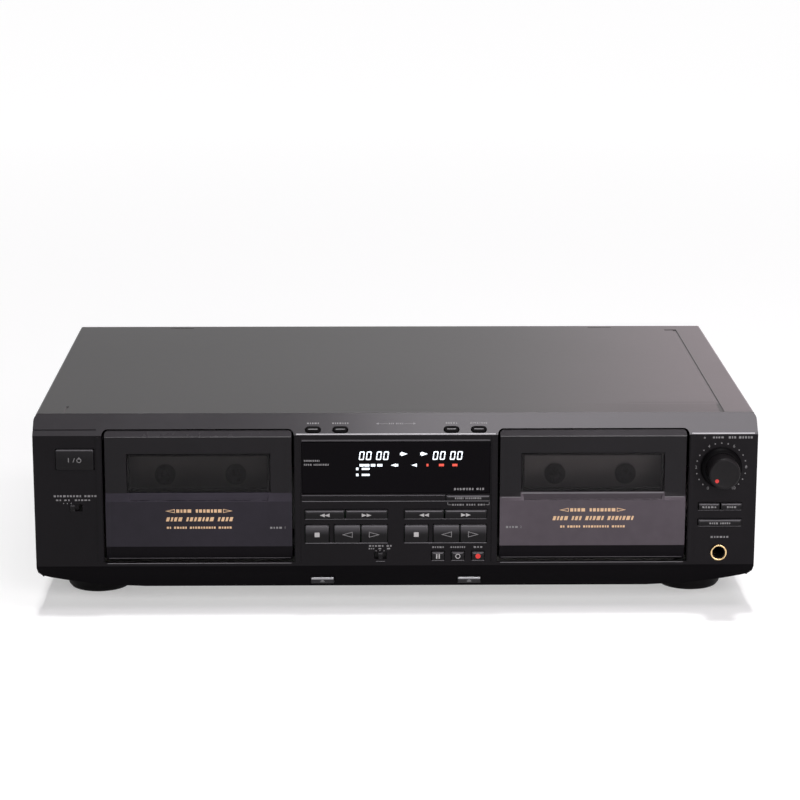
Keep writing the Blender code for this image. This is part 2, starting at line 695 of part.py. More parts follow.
def panel_ribs(mesh):
    """Raised pillars beside the doors and the rail under the display."""
    root = PANEL_WALL / 2
    low = FACE_BOTTOM + DOOR_SILL
    high = FACE_TOP - PILLAR_PROUD
    for side in (-1, 1):
        for inner in (CONSOLE_HALF, OPENING_OUTER + PILLAR_SETBACK):
            add_block(mesh, sorted((side * inner, side * (inner + PILLAR_WIDTH))),
                      (-PILLAR_PROUD, root), (low, high))
    width = CONSOLE_HALF - DISPLAY_SIDE_MARGIN
    slope = RAIL_PROUD / 2
    outline = [(root, RAIL_BOTTOM), (root, RAIL_TOP), (0.0, RAIL_TOP),
               (-RAIL_PROUD, RAIL_TOP - slope), (-RAIL_PROUD, RAIL_BOTTOM + slope),
               (0.0, RAIL_BOTTOM)]
    add_prism(mesh, outline, "X", -width, width)


def panel_bosses(mesh):
    """Posts behind the panel that carry the tray's front wall and the control board."""
    low = TRAY_FLOOR + GAP
    root = CHIN_DEPTH * (FACE_BOTTOM - low) / CHIN_HEIGHT + GAP
    for share in (-0.86, -0.3, 0.3, 0.86):
        middle = share * PANEL_HALF
        add_block(mesh, (middle - BOSS_WIDTH / 2, middle + BOSS_WIDTH / 2),
                  (root, LIP_BACK), (low, low + BOSS_HEIGHT))
    outer = CONSOLE_HALF + CONTROL_STANDOFF_WIDTH + GAP
    for side in (-1, 1):
        for top in (PLAY_TOP, SEEK_TOP + CONTROL_STANDOFF_HEIGHT):
            add_block(mesh, sorted((side * (outer - CONTROL_STANDOFF_WIDTH), side * outer)),
                      (PANEL_WALL / 2, CONTROL_BOARD_FRONT - GAP),
                      (top - CONTROL_STANDOFF_HEIGHT, top))


def opening_block(mesh, x_pair, z_pair, back=None):
    """Cut a rectangle through the panel's face wall."""
    behind = PANEL_WALL + OVERRUN if back is None else back
    add_block(mesh, x_pair, (-RAIL_PROUD - OVERRUN, behind), z_pair)


def panel_openings(mesh):
    """Openings for keys, switches, knob, socket, display and doors."""
    clear = KEY_CLEARANCE
    for group in key_groups():
        opening_block(mesh, (group[0][1] - clear, group[-1][2] + clear),
                      (group[0][3] - clear, group[0][4] + clear))
    keys = side_keys()
    keys[1:3] = [("pair", keys[1][1], keys[2][2], keys[1][3], keys[1][4])]
    for name, left, right, low, high in keys:
        opening_block(mesh, (left - clear, right + clear), (low - clear, high + clear))
    for name, middle, height, rest in slide_switches():
        reach = SLIDER_PITCH + SLIDER_SIZE / 2 + GAP
        opening_block(mesh, (middle - reach, middle + reach),
                      (height - SLOT_HEIGHT / 2, height + SLOT_HEIGHT / 2))
    right = side_centre(1)
    back = PANEL_WALL + OVERRUN
    add_turned(mesh, [(KNOB_SHAFT_RADIUS + GAP, -OVERRUN), (KNOB_SHAFT_RADIUS + GAP, back)],
               (right, 0, FACE_TOP - KNOB_DROP), "Y", SMALL_ROUND_COUNT)
    add_turned(mesh, [(PHONES_BODY_RADIUS + GAP, -OVERRUN), (PHONES_BODY_RADIUS + GAP, back)],
               (right, 0, FACE_TOP - PHONES_DROP), "Y", SMALL_ROUND_COUNT)


def display_half():
    """Half the display window's width."""
    return CONSOLE_HALF - DISPLAY_SIDE_MARGIN


def make_front_panel(material, parent):
    """The moulded panel: a bevelled shell with its openings."""
    section = panel_profile(LIP_BACK)
    step = (BEVEL_DEPTH, CHIN_BOTTOM + PANEL_WALL + GAP)
    section[2:3] = [(LIP_BACK, step[1]), step]
    mesh = bmesh.new()
    add_prism(mesh, section, "X", -PANEL_HALF - OVERRUN, PANEL_HALF + OVERRUN)
    panel = piece("front_panel", mesh, material, parent)
    mesh = bmesh.new()
    add_prism(mesh, panel_front_outline(), "Y", -OVERRUN, LIP_BACK + OVERRUN)
    shape_with(panel, mesh, "INTERSECT")
    mesh = bmesh.new()
    add_block(mesh, (-LIP_HALF, LIP_HALF), (BEVEL_DEPTH - GAP, LIP_BACK), (TRAY_BOTTOM, LIP_TOP))
    shape_with(panel, mesh, "UNION")
    mesh = bmesh.new()
    hollow = inset(panel_profile(LIP_BACK + OVERRUN + PANEL_WALL), PANEL_WALL)
    inner = PANEL_HALF - PANEL_PROUD - PANEL_WALL
    add_prism(mesh, hollow, "X", -inner, inner)
    shape_with(panel, mesh, "DIFFERENCE")
    mesh = bmesh.new()
    panel_ribs(mesh)
    panel_bosses(mesh)
    shape_with(panel, mesh, "UNION")
    mesh = bmesh.new()
    panel_openings(mesh)
    shape_with(panel, mesh, "DIFFERENCE")
    mesh = bmesh.new()
    for side in (-1, 1):
        left, right = sorted((side * OPENING_INNER, side * OPENING_OUTER))
        outline = rounded_top(left, right, FACE_BOTTOM + DOOR_SILL,
                              FACE_TOP + DOOR_OPENING_RISE, DOOR_OPENING_RADIUS)
        add_prism(mesh, outline, "Y", -OVERRUN, LIP_BACK + OVERRUN)
    panel_groove(mesh)
    add_block(mesh, (-display_half(), display_half()), (-OVERRUN, DISPLAY_PANE + GAP),
              (DISPLAY_BOTTOM, DISPLAY_TOP))
    shape_with(panel, mesh, "DIFFERENCE")
    mesh = bmesh.new()
    half = display_half() - DISPLAY_LEDGE
    add_block(mesh, (-half, half), (DISPLAY_PANE, PANEL_WALL + OVERRUN),
              (DISPLAY_BOTTOM + DISPLAY_LEDGE, DISPLAY_TOP - DISPLAY_LEDGE))
    shape_with(panel, mesh, "DIFFERENCE")
    for across in oval_key_places():
        mesh = bmesh.new()
        width = OVAL_KEY_WIDTH / 2 + KEY_CLEARANCE
        height = OVAL_KEY_HEIGHT / 2 + KEY_CLEARANCE
        add_rings(mesh, [oval_ring(-OVERRUN, width, height),
                         oval_ring(PANEL_WALL + OVERRUN, width, height)])
        shape_with(panel, mesh, "DIFFERENCE", bevel_place(across), bevel_turn())
    for label, (across, depth, height) in eject_places():
        mesh = bmesh.new()
        half = EJECT_WIDTH / 2 + KEY_CLEARANCE
        rise = EJECT_HEIGHT / 2 + KEY_CLEARANCE
        add_block(mesh, (across - half, across + half), (-OVERRUN, CHIN_DEPTH + 2 * PANEL_WALL),
                  (height - rise, height + rise))
        shape_with(panel, mesh, "DIFFERENCE")
    return panel


def make_display_window(material, parent):
    """The clear pane over the display."""
    mesh = bmesh.new()
    half = display_half() - GAP
    add_block(mesh, (-half, half), (0.0, DISPLAY_PANE),
              (DISPLAY_BOTTOM + GAP, DISPLAY_TOP - GAP))
    return piece("display_window", mesh, material, parent)


def make_keys(materials, parent):
    """Every key of the flat face."""
    for group in key_groups():
        for name, left, right, low, high in group:
            make_key(name, (left, right), (low, high), materials["key"], parent)
    for name, left, right, low, high in side_keys():
        proud = RAIL_PROUD + KEY_CHAMFER if name == "dubbing_key" else KEY_PROUD
        make_key(name, (left, right), (low, high), materials["key"], parent, proud)


def make_oval_keys(material, parent):
    """The four small keys on the bevel."""
    for index, across in enumerate(oval_key_places()):
        mesh = bmesh.new()
        add_rings(mesh, key_rings(OVAL_KEY_WIDTH / 2, OVAL_KEY_HEIGHT / 2, OVAL_KEY_PROUD,
                                  oval_ring))
        piece("bevel_key_%d" % (index + 1), mesh, material, parent, bevel_place(across),
              bevel_turn())


def make_eject_keys(material, parent):
    """The two keys in the chin that let the doors open."""
    for label, (across, depth, height) in eject_places():
        front = depth - EJECT_HEIGHT / 2 * CHIN_DEPTH / CHIN_HEIGHT - KEY_PROUD / 2
        back = CHIN_DEPTH + PANEL_WALL + GAP
        half_width = EJECT_WIDTH / 2
        half_height = EJECT_HEIGHT / 2
        rings = [
            rectangle_ring(front, half_width - KEY_CHAMFER, half_height - KEY_CHAMFER),
            rectangle_ring(front + KEY_CHAMFER, half_width, half_height),
            rectangle_ring(back, half_width, half_height),
            rectangle_ring(back, half_width + KEY_FLANGE, half_height),
            rectangle_ring(back + KEY_FLANGE_WALL, half_width + KEY_FLANGE, half_height),
        ]
        mesh = bmesh.new()
        add_rings(mesh, rings)
        bmesh.ops.translate(mesh, verts=mesh.verts, vec=(across, 0, height))
        piece("eject_key_" + label, mesh, material, parent, (across, depth, height))


def make_slide_switches(material, parent):
    """The two slide switches, each at its rest step."""
    for name, middle, height, rest in slide_switches():
        half = SLIDER_SIZE / 2
        reach = SLIDER_PITCH * 2 + SLIDER_SIZE
        plate_front = PANEL_WALL + GAP
        cap_height = SLOT_HEIGHT / 2 - GAP
        rings = [
            rectangle_ring(-SLIDER_PROUD, half - GAP, cap_height - GAP),
            rectangle_ring(-SLIDER_PROUD + GAP, half, cap_height),
            rectangle_ring(plate_front, half, cap_height),
            rectangle_ring(plate_front, reach / 2, cap_height + KEY_FLANGE),
            rectangle_ring(plate_front + SLIDER_WALL, reach / 2, cap_height + KEY_FLANGE),
        ]
        mesh = bmesh.new()
        add_rings(mesh, rings)
        place = (middle + rest * SLIDER_PITCH, 0.0, height)
        bmesh.ops.translate(mesh, verts=mesh.verts, vec=place)
        piece(name, mesh, material, parent, place)


def make_level_knob(material, parent):
    """The record level knob, its skirt and its shaft."""
    neck = KNOB_SKIRT_HEIGHT
    profile = [
        (KNOB_RADIUS - KNOB_ROUNDING, -KNOB_REACH),
        (KNOB_RADIUS, -KNOB_REACH + KNOB_ROUNDING),
        (KNOB_RADIUS + KNOB_ROUNDING / 2, -neck),
        (KNOB_SKIRT_RADIUS, -KNOB_SKIRT_EDGE),
        (KNOB_SKIRT_RADIUS, -GAP),
        (KNOB_SHAFT_RADIUS, -GAP),
        (KNOB_SHAFT_RADIUS, KNOB_SHAFT_LENGTH),
    ]
    centre = (side_centre(1), 0.0, FACE_TOP - KNOB_DROP)
    mesh = bmesh.new()
    add_turned(mesh, profile, centre, "Y", ROUND_COUNT)
    piece("level_knob", mesh, material, parent, centre, smooth=True)


def make_phones_jack(material, parent):
    """The headphone socket: a ring outside, a nut behind the wall and a bored body."""
    centre = (side_centre(1), 0.0, FACE_TOP - PHONES_DROP)
    nut = PANEL_WALL + GAP
    profile = [
        (PHONES_BORE_RADIUS, PHONES_BORE_DEPTH),
        (PHONES_BORE_RADIUS, -PHONES_RING_PROUD),
        (PHONES_RING_RADIUS, -PHONES_RING_PROUD),
        (PHONES_RING_RADIUS, -GAP),
        (PHONES_BODY_RADIUS, -GAP),
        (PHONES_BODY_RADIUS, nut),
        (PHONES_NUT_RADIUS, nut),
        (PHONES_NUT_RADIUS, nut + PHONES_NUT_WALL),
        (PHONES_BODY_RADIUS, nut + PHONES_NUT_WALL),
        (PHONES_BODY_RADIUS, PHONES_LENGTH),
    ]
    mesh = bmesh.new()
    add_turned(mesh, profile, centre, "Y", SMALL_ROUND_COUNT)
    piece("phones_jack", mesh, material, parent, centre, smooth=True)


def door_bottom():
    """The height of a door's lower edge."""
    return FACE_BOTTOM + DOOR_SILL + DOOR_BOTTOM_GAP


def door_profile():
    """A door lid's section, from its lower front edge anticlockwise, left too tall."""
    low = door_bottom()
    high = FACE_TOP + DOOR_TOP_RISE
    ledge = FACE_TOP - LEDGE_DROP
    edge = FACE_TOP - DOOR_EDGE_DROP
    slope_back = DOOR_RECESS + DOOR_TOP_RISE
    return [(DOOR_CHIN_DEPTH, low), (DOOR_DEPTH, low), (DOOR_DEPTH, high + OVERRUN),
            (slope_back, high + OVERRUN), (slope_back, high), (DOOR_RECESS, edge),
            (DOOR_RECESS, ledge), (0.0, ledge - LEDGE_HEIGHT), (0.0, low + DOOR_CHIN_HEIGHT)]


def window_heights():
    """The door window's lower and upper edges."""
    top = FACE_TOP - WINDOW_DROP
    return (top - WINDOW_HEIGHT, top)


def make_door_lid(label, side, material, parent):
    """The door's outer lid with its window opening and the notch under the window."""
    centre = side * DOOR_CENTRE
    half = DOOR_WIDTH / 2
    mesh = bmesh.new()
    add_prism(mesh, door_profile(), "X", centre - half - OVERRUN, centre + half + OVERRUN)
    lid = piece("door_lid_" + label, mesh, material, parent, (centre, PIVOT_DEPTH, PIVOT_HEIGHT))
    outline = rounded_top(centre - half, centre + half, door_bottom() - OVERRUN,
                          FACE_TOP + DOOR_TOP_RISE, DOOR_CORNER_RADIUS)
    mesh = bmesh.new()
    add_prism(mesh, outline, "Y", -OVERRUN, DOOR_DEPTH + OVERRUN)
    shape_with(lid, mesh, "INTERSECT")
    low, high = window_heights()
    mesh = bmesh.new()
    half = WINDOW_WIDTH / 2
    add_block(mesh, (centre - half, centre + half),
              (-OVERRUN, DOOR_RECESS + WINDOW_PANE + GAP), (low, high))
    shape_with(lid, mesh, "DIFFERENCE")
    mesh = bmesh.new()
    half -= WINDOW_LEDGE
    add_block(mesh, (centre - half, centre + half), (DOOR_RECESS, DOOR_DEPTH + OVERRUN),
              (low + WINDOW_LEDGE, high - WINDOW_LEDGE))
    shape_with(lid, mesh, "DIFFERENCE")
    mesh = bmesh.new()
    ledge = FACE_TOP - LEDGE_DROP
    wide = NOTCH_WIDTH / 2
    narrow = wide - NOTCH_SLANT
    floor = ledge - NOTCH_HEIGHT
    outline = [(centre - narrow, floor), (centre + narrow, floor),
               (centre + wide, ledge), (centre - wide, ledge)]
    add_prism(mesh, outline, "Y", -OVERRUN, NOTCH_DEPTH)
    shape_with(lid, mesh, "DIFFERENCE")


def make_door_window(label, side, material, parent):
    """The smoked pane in a door."""
    centre = side * DOOR_CENTRE
    half = WINDOW_WIDTH / 2 - GAP
    low, high = window_heights()
    mesh = bmesh.new()
    add_block(mesh, (centre - half, centre + half), (DOOR_RECESS, DOOR_RECESS + WINDOW_PANE),
              (low + GAP, high - GAP))
    piece("door_window_" + label, mesh, material, parent, (centre, PIVOT_DEPTH, PIVOT_HEIGHT))


def make_cassette_holder(label, side, material, parent):
    """The holder behind a door: open at the top, at the back and between its two shelves."""
    centre = side * DOOR_CENTRE
    low, high = window_heights()
    bottom = PIVOT_HEIGHT - PIVOT_RADIUS - PIVOT_WALL
    mesh = bmesh.new()
    add_block(mesh, (centre - HOLDER_HALF, centre + HOLDER_HALF), (HOLDER_FRONT, HOLDER_BACK),
              (bottom, HOLDER_TOP))
    holder = piece("cassette_holder_" + label, mesh, material, parent,
                   (centre, PIVOT_DEPTH, PIVOT_HEIGHT))
    shelf = SHELF_TOP - HOLDER_SHELF_WALL
    gap_half = BAY_HALF - HOLDER_SHELF_WIDTH
    back_half = BAY_HALF - HOLDER_LIP_WIDTH
    window_half = WINDOW_WIDTH / 2 - WINDOW_LEDGE + HOLDER_WINDOW_MARGIN
    window_low = low - HOLDER_WINDOW_MARGIN
    window_high = high + HOLDER_WINDOW_MARGIN
    cuts = [
        (BAY_HALF, (BAY_FRONT, BAY_BACK), (SHELF_TOP, HOLDER_TOP + OVERRUN)),
        (back_half, (BAY_BACK - OVERRUN, HOLDER_BACK + OVERRUN),
         (SHELF_TOP + HOLDER_LIP_WALL, HOLDER_TOP + 2 * OVERRUN)),
        (gap_half, (BAY_FRONT, HOLDER_BACK + 2 * OVERRUN), (bottom, SHELF_TOP + 2 * OVERRUN)),
        (BAY_HALF, (HOLDER_FRONT - OVERRUN, HOLDER_BACK + OVERRUN), (bottom - OVERRUN, shelf)),
        (window_half, (HOLDER_FRONT - OVERRUN, BAY_FRONT + OVERRUN), (window_low, window_high)),
    ]
    for half, depths, heights in cuts:
        mesh = bmesh.new()
        add_block(mesh, (centre - half, centre + half), depths, heights)
        shape_with(holder, mesh, "DIFFERENCE")
    mesh = bmesh.new()
    for way in (-1, 1):
        start = way * (HOLDER_HALF - HOLDER_WALL / 2)
        end = way * EAR_OUTER
        add_turned(mesh, [(PIVOT_RADIUS, start), (PIVOT_RADIUS, end)],
                   (centre, PIVOT_DEPTH, PIVOT_HEIGHT), "X", SMALL_ROUND_COUNT)
    shape_with(holder, mesh, "UNION")


def frame_ears(mesh, centre):
    """Side plates of the mechanism frame that carry the door's pivot pins."""
    reach = PIVOT_RADIUS + PIVOT_WALL
    for way in (-1, 1):
        outline = [(FRAME_INNER_FRONT, PIVOT_HEIGHT - reach),
                   (FRAME_INNER_FRONT, PIVOT_HEIGHT + reach),
                   (PIVOT_DEPTH, PIVOT_HEIGHT + reach)]
        outline += arc((PIVOT_DEPTH, PIVOT_HEIGHT), reach, 120, 240, 4)
        outline.append((PIVOT_DEPTH, PIVOT_HEIGHT - reach))
        pair = sorted((way * EAR_INNER, way * EAR_OUTER))
        add_prism(mesh, outline, "X", centre + pair[0], centre + pair[1])


def frame_wings(mesh, centre):
    """Strips that join the ears to the front wall of the mechanism frame."""
    reach = PIVOT_RADIUS + PIVOT_WALL - GAP
    for way in (-1, 1):
        pair = sorted((way * (FRAME_HALF - FRAME_WALL), way * (EAR_OUTER - GAP)))
        add_block(mesh, (centre + pair[0], centre + pair[1]),
                  (FRAME_FRONT + GAP, FRAME_INNER_FRONT - GAP),
                  (PIVOT_HEIGHT - reach, PIVOT_HEIGHT + reach))


def frame_legs(mesh, centre):
    """Legs that stand the mechanism frame on the tray."""
    for way in (-1, 1):
        outer = way * (FRAME_HALF - LEG_INSET)
        pair = sorted((outer, outer - way * LEG_WIDTH))
        add_block(mesh, (centre + pair[0], centre + pair[1]),
                  (FRAME_FRONT + GAP, FRAME_BACK - GAP),
                  (TRAY_FLOOR + GAP, FRAME_BOTTOM + FRAME_WALL / 2))


def make_mechanism_frame(label, side, material, parent):
    """The frame that holds the spindles and capstans, with its motor."""
    centre = side * DOOR_CENTRE
    mesh = bmesh.new()
    add_block(mesh, (centre - FRAME_HALF, centre + FRAME_HALF), (FRAME_FRONT, FRAME_BACK),
              (FRAME_BOTTOM, FRAME_TOP))
    frame = piece("mechanism_frame_" + label, mesh, material, parent, (centre, 0, 0))
    mesh = bmesh.new()
    add_block(mesh, (centre - FRAME_HALF - OVERRUN, centre + FRAME_HALF + OVERRUN),
              (FRAME_INNER_FRONT, FRAME_INNER_BACK),
              (FRAME_BOTTOM + FRAME_WALL, FRAME_TOP - FRAME_WALL))
    shape_with(frame, mesh, "DIFFERENCE")
    for add in (frame_ears, frame_wings, frame_legs):
        mesh = bmesh.new()
        add(mesh, centre)
        shape_with(frame, mesh, "UNION")
    mesh = bmesh.new()
    add_turned(mesh, [(MOTOR_RADIUS, FRAME_BACK - FRAME_WALL / 2), (MOTOR_RADIUS, MOTOR_BACK)],
               (centre, 0, HUB_HEIGHT + MOTOR_RISE), "Y", SMALL_ROUND_COUNT)
    shape_with(frame, mesh, "UNION")
    mesh = bmesh.new()
    front = FRAME_FRONT - OVERRUN
    back = FRAME_INNER_FRONT + OVERRUN
    for way in (-1, 1):
        hub = (centre + way * CASSETTE_HUB_SPACING / 2, 0, HUB_HEIGHT)
        capstan = (centre + way * CASSETTE_CAPSTAN_SPACING / 2, 0, CAPSTAN_HEIGHT)
        pin = (centre, PIVOT_DEPTH, PIVOT_HEIGHT)
        radius = SPINDLE_SHAFT_RADIUS + GAP
        add_turned(mesh, [(radius, front), (radius, back)], hub, "Y", SMALL_ROUND_COUNT)
        radius = CAPSTAN_RADIUS + GAP
        add_turned(mesh, [(radius, front), (radius, back)], capstan, "Y", SMALL_ROUND_COUNT)
        radius = PIVOT_RADIUS + GAP
        ends = sorted((way * (EAR_INNER - OVERRUN / 2), way * (EAR_OUTER + OVERRUN)))
        add_turned(mesh, [(radius, ends[0]), (radius, ends[1])], pin, "X", SMALL_ROUND_COUNT)
    shape_with(frame, mesh, "DIFFERENCE")


def add_star(mesh, rings, centre):
    """Turn rings whose points lie at two radii in turn, so that the body has six ribs."""
    layers = []
    for outer, inner, depth in rings:
        ring = []
        for step in range(24):
            angle = 2 * math.pi * step / 24
            radius = outer if step % 4 < 2 else inner
            ring.append((centre[0] + radius * math.cos(angle), depth,
                         centre[2] + radius * math.sin(angle)))
        layers.append(ring)
    add_rings(mesh, layers)


def make_reel_spindles(label, side, material, parent):
    """Two ribbed spindles that turn the cassette's hubs, each with its reel table."""
    tip = BAY_BACK - SPINDLE_REACH
    disc_back = FRAME_FRONT - GAP
    disc_front = disc_back - SPINDLE_DISC_WALL
    table_front = FRAME_INNER_FRONT + GAP
    table_back = table_front + REEL_TABLE_WALL
    valley = SPINDLE_RADIUS * SPINDLE_VALLEY_SHARE
    rings = [
        (SPINDLE_TIP_RADIUS, SPINDLE_TIP_RADIUS * SPINDLE_VALLEY_SHARE, tip),
        (SPINDLE_RADIUS, valley, tip + SPINDLE_TIP_LENGTH),
        (SPINDLE_RADIUS, valley, disc_front),
        (SPINDLE_DISC_RADIUS, SPINDLE_DISC_RADIUS, disc_front),
        (SPINDLE_DISC_RADIUS, SPINDLE_DISC_RADIUS, disc_back),
        (SPINDLE_SHAFT_RADIUS, SPINDLE_SHAFT_RADIUS, disc_back),
        (SPINDLE_SHAFT_RADIUS, SPINDLE_SHAFT_RADIUS, table_front),
        (REEL_TABLE_RADIUS, REEL_TABLE_RADIUS, table_front),
        (REEL_TABLE_RADIUS, REEL_TABLE_RADIUS, table_back),
    ]
    for end, way in (("left", -1), ("right", 1)):
        centre = (side * DOOR_CENTRE + way * CASSETTE_HUB_SPACING / 2, 0.0, HUB_HEIGHT)
        mesh = bmesh.new()
        add_star(mesh, rings, centre)
        piece("reel_spindle_%s_%s" % (label, end), mesh, material, parent, centre, smooth=True)


def make_capstans(label, side, material, parent):
    """Two capstan shafts, each with its flywheel behind the frame's front wall."""
    tip = BAY_BACK - CAPSTAN_REACH
    wheel_back = FRAME_INNER_BACK - FLYWHEEL_CLEARANCE
    wheel_front = wheel_back - FLYWHEEL_WALL
    profile = [
        (CAPSTAN_RADIUS * SPINDLE_VALLEY_SHARE, tip),
        (CAPSTAN_RADIUS, tip + CAPSTAN_RADIUS / 2),
        (CAPSTAN_RADIUS, wheel_front),
        (FLYWHEEL_RADIUS, wheel_front),
        (FLYWHEEL_RADIUS, wheel_back),
        (CAPSTAN_RADIUS, wheel_back),
        (CAPSTAN_RADIUS, FRAME_INNER_BACK - GAP),
    ]
    for end, way in (("left", -1), ("right", 1)):
        centre = (side * DOOR_CENTRE + way * CASSETTE_CAPSTAN_SPACING / 2, 0.0, CAPSTAN_HEIGHT)
        mesh = bmesh.new()
        add_turned(mesh, profile, centre, "Y", SMALL_ROUND_COUNT)
        piece("capstan_%s_%s" % (label, end), mesh, material, parent, centre, smooth=True)


def make_head_carriage(label, side, material, parent):
    """The plate that lifts the tape head and the two pinch rollers to the tape."""
    centre = side * DOOR_CENTRE
    back = FRAME_FRONT - GAP
    front = back - CARRIAGE_WALL
    roller_height = CAPSTAN_HEIGHT - CAPSTAN_RADIUS - ROLLER_GAP - CARRIAGE_TRAVEL - ROLLER_RADIUS
    top = roller_height + ROLLER_RADIUS - GAP
    mesh = bmesh.new()
    add_block(mesh, (centre - CARRIAGE_WIDTH / 2, centre + CARRIAGE_WIDTH / 2), (front, back),
              (top - CARRIAGE_HEIGHT, top))
    carriage = piece("head_carriage_" + label, mesh, material, parent, (centre, 0, top))
    mesh = bmesh.new()
    head_top = top - GAP
    add_block(mesh, (centre - HEAD_WIDTH / 2, centre + HEAD_WIDTH / 2),
              (BAY_FRONT + HEAD_TIP_CLEARANCE, back - CARRIAGE_WALL / 2),
              (head_top - HEAD_HEIGHT, head_top))
    for way in (-1, 1):
        add_turned(mesh, [(ROLLER_RADIUS, front - ROLLER_LENGTH),
                          (ROLLER_RADIUS, back - CARRIAGE_WALL / 2)],
                   (centre + way * CASSETTE_CAPSTAN_SPACING / 2, 0, roller_height), "Y",
                   SMALL_ROUND_COUNT)
    shape_with(carriage, mesh, "UNION")


def cover_outline():
    """The folded cover's section: outer face one way round and inner face back."""
    bottom = TRAY_BOTTOM + COVER_SIDE_RAISE
    corner = (COVER_HALF - COVER_BEND, CASE_TOP - COVER_BEND)
    outer = [(COVER_HALF, bottom)] + arc(corner, COVER_BEND, 0, 90, 4)
    outer += [(-across, up) for across, up in reversed(outer)]
    corner_radius = COVER_BEND - COVER_WALL
    inner = [(COVER_HALF - COVER_WALL, bottom)] + arc(corner, corner_radius, 0, 90, 4)
    inner += [(-across, up) for across, up in reversed(inner)]
    return outer + inner[::-1]


def cover_grooves(mesh):
    """The pressed groove with its turn, the nick at the left and two slots at the rear."""
    right = COVER_HALF - GROOVE_INSET
    inner = right - GROOVE_WIDTH
    rear = CASE_DEPTH - GROOVE_REAR
    floor = CASE_TOP - GROOVE_DEPTH
    outline = [
        (inner, BEVEL_DEPTH), (right, BEVEL_DEPTH), (right, rear), (right - GROOVE_TURN, rear),
        (right - GROOVE_TURN, rear - GROOVE_WIDTH), (inner, rear - GROOVE_WIDTH),
    ]
    add_prism(mesh, outline, "Z", floor, CASE_TOP + OVERRUN)
    add_block(mesh, (-right - NICK_WIDTH, -right), (NICK_FRONT, NICK_FRONT + NICK_LENGTH),
              (floor, CASE_TOP + OVERRUN))
    slot_back = CASE_DEPTH - COVER_SLOT_REAR
    for side in (-1, 1):
        middle = side * COVER_SLOT_OFFSET
        add_block(mesh, (middle - COVER_SLOT_LENGTH / 2, middle + COVER_SLOT_LENGTH / 2),
                  (slot_back - COVER_SLOT_WIDTH, slot_back), (floor, CASE_TOP + OVERRUN))


def make_top_cover(material, parent):
    """The folded sheet cover with its shallow pressed grooves."""
    front = BEVEL_DEPTH + GAP
    mesh = bmesh.new()
    add_prism(mesh, cover_outline(), "Y", front, CASE_DEPTH)
    cover = piece("top_cover", mesh, material, parent)
    mesh = bmesh.new()
    cover_grooves(mesh)
    shape_with(cover, mesh, "DIFFERENCE")


def main_board_ends():
    """The main board's ends across and front to back."""
    middle = MAIN_BOARD_SHIFT
    front = MOTOR_BACK + MAIN_BOARD_CLEARANCE
    return ((middle - MAIN_BOARD_WIDTH / 2, middle + MAIN_BOARD_WIDTH / 2),
            (front, front + MAIN_BOARD_DEPTH))


def make_chassis_tray(material, parent):
    """The sheet tray under everything, with vents and the board's standoffs."""
    mesh = bmesh.new()
    add_block(mesh, (-TRAY_HALF, TRAY_HALF), (TRAY_FRONT, TRAY_BACK),
              (TRAY_BOTTOM, TRAY_BOTTOM + TRAY_SIDE_HEIGHT))
    tray = piece("chassis_tray", mesh, material, parent)
    inner = TRAY_HALF - TRAY_WALL
    top = TRAY_BOTTOM + TRAY_SIDE_HEIGHT + OVERRUN
    mesh = bmesh.new()
    add_block(mesh, (-inner, inner), (TRAY_FRONT + TRAY_WALL, TRAY_BACK + OVERRUN),
              (TRAY_FLOOR, top))
    shape_with(tray, mesh, "DIFFERENCE")
    mesh = bmesh.new()
    add_block(mesh, (-inner, inner), (TRAY_FRONT - OVERRUN, TRAY_FRONT + TRAY_WALL + GAP),
              (TRAY_BOTTOM + TRAY_FRONT_HEIGHT, top + OVERRUN))
    shape_with(tray, mesh, "DIFFERENCE")
    (left, right), (front, back) = main_board_ends()
    mesh = bmesh.new()
    for across in (left + STANDOFF_INSET, right - STANDOFF_INSET):
        for depth in (front + STANDOFF_INSET, back - STANDOFF_INSET):
            add_turned(mesh, [(STANDOFF_RADIUS, TRAY_BOTTOM + TRAY_WALL / 2),
                              (STANDOFF_RADIUS, TRAY_FLOOR + STANDOFF_HEIGHT - GAP)],
                       (across, depth, 0), "Z", SMALL_ROUND_COUNT)
    shape_with(tray, mesh, "UNION")
    mesh = bmesh.new()
    first = MAIN_BOARD_SHIFT - TRAY_VENT_PITCH * (TRAY_VENT_COUNT - 1) / 2
    middle = (front + back) / 2
    for index in range(TRAY_VENT_COUNT):
        across = first + index * TRAY_VENT_PITCH
        add_block(mesh, (across - TRAY_VENT_WIDTH / 2, across + TRAY_VENT_WIDTH / 2),
                  (middle - TRAY_VENT_LENGTH / 2, middle + TRAY_VENT_LENGTH / 2),
                  (TRAY_BOTTOM - OVERRUN, TRAY_FLOOR + OVERRUN))
    shape_with(tray, mesh, "DIFFERENCE")


def jack_places():
    """The four pin jacks' middles at the rear: across and height."""
    return [(JACK_OFFSET + column * JACK_PITCH_ACROSS / 2, TRAY_BOTTOM + JACK_RISE
             + row * JACK_PITCH_UP / 2) for column in (-1, 1) for row in (-1, 1)]


def jack_block_half():
    """Half the width and height of the pin-jack block's body."""
    return (JACK_PITCH_ACROSS / 2 + JACK_BODY_MARGIN, JACK_PITCH_UP / 2 + JACK_BODY_MARGIN)


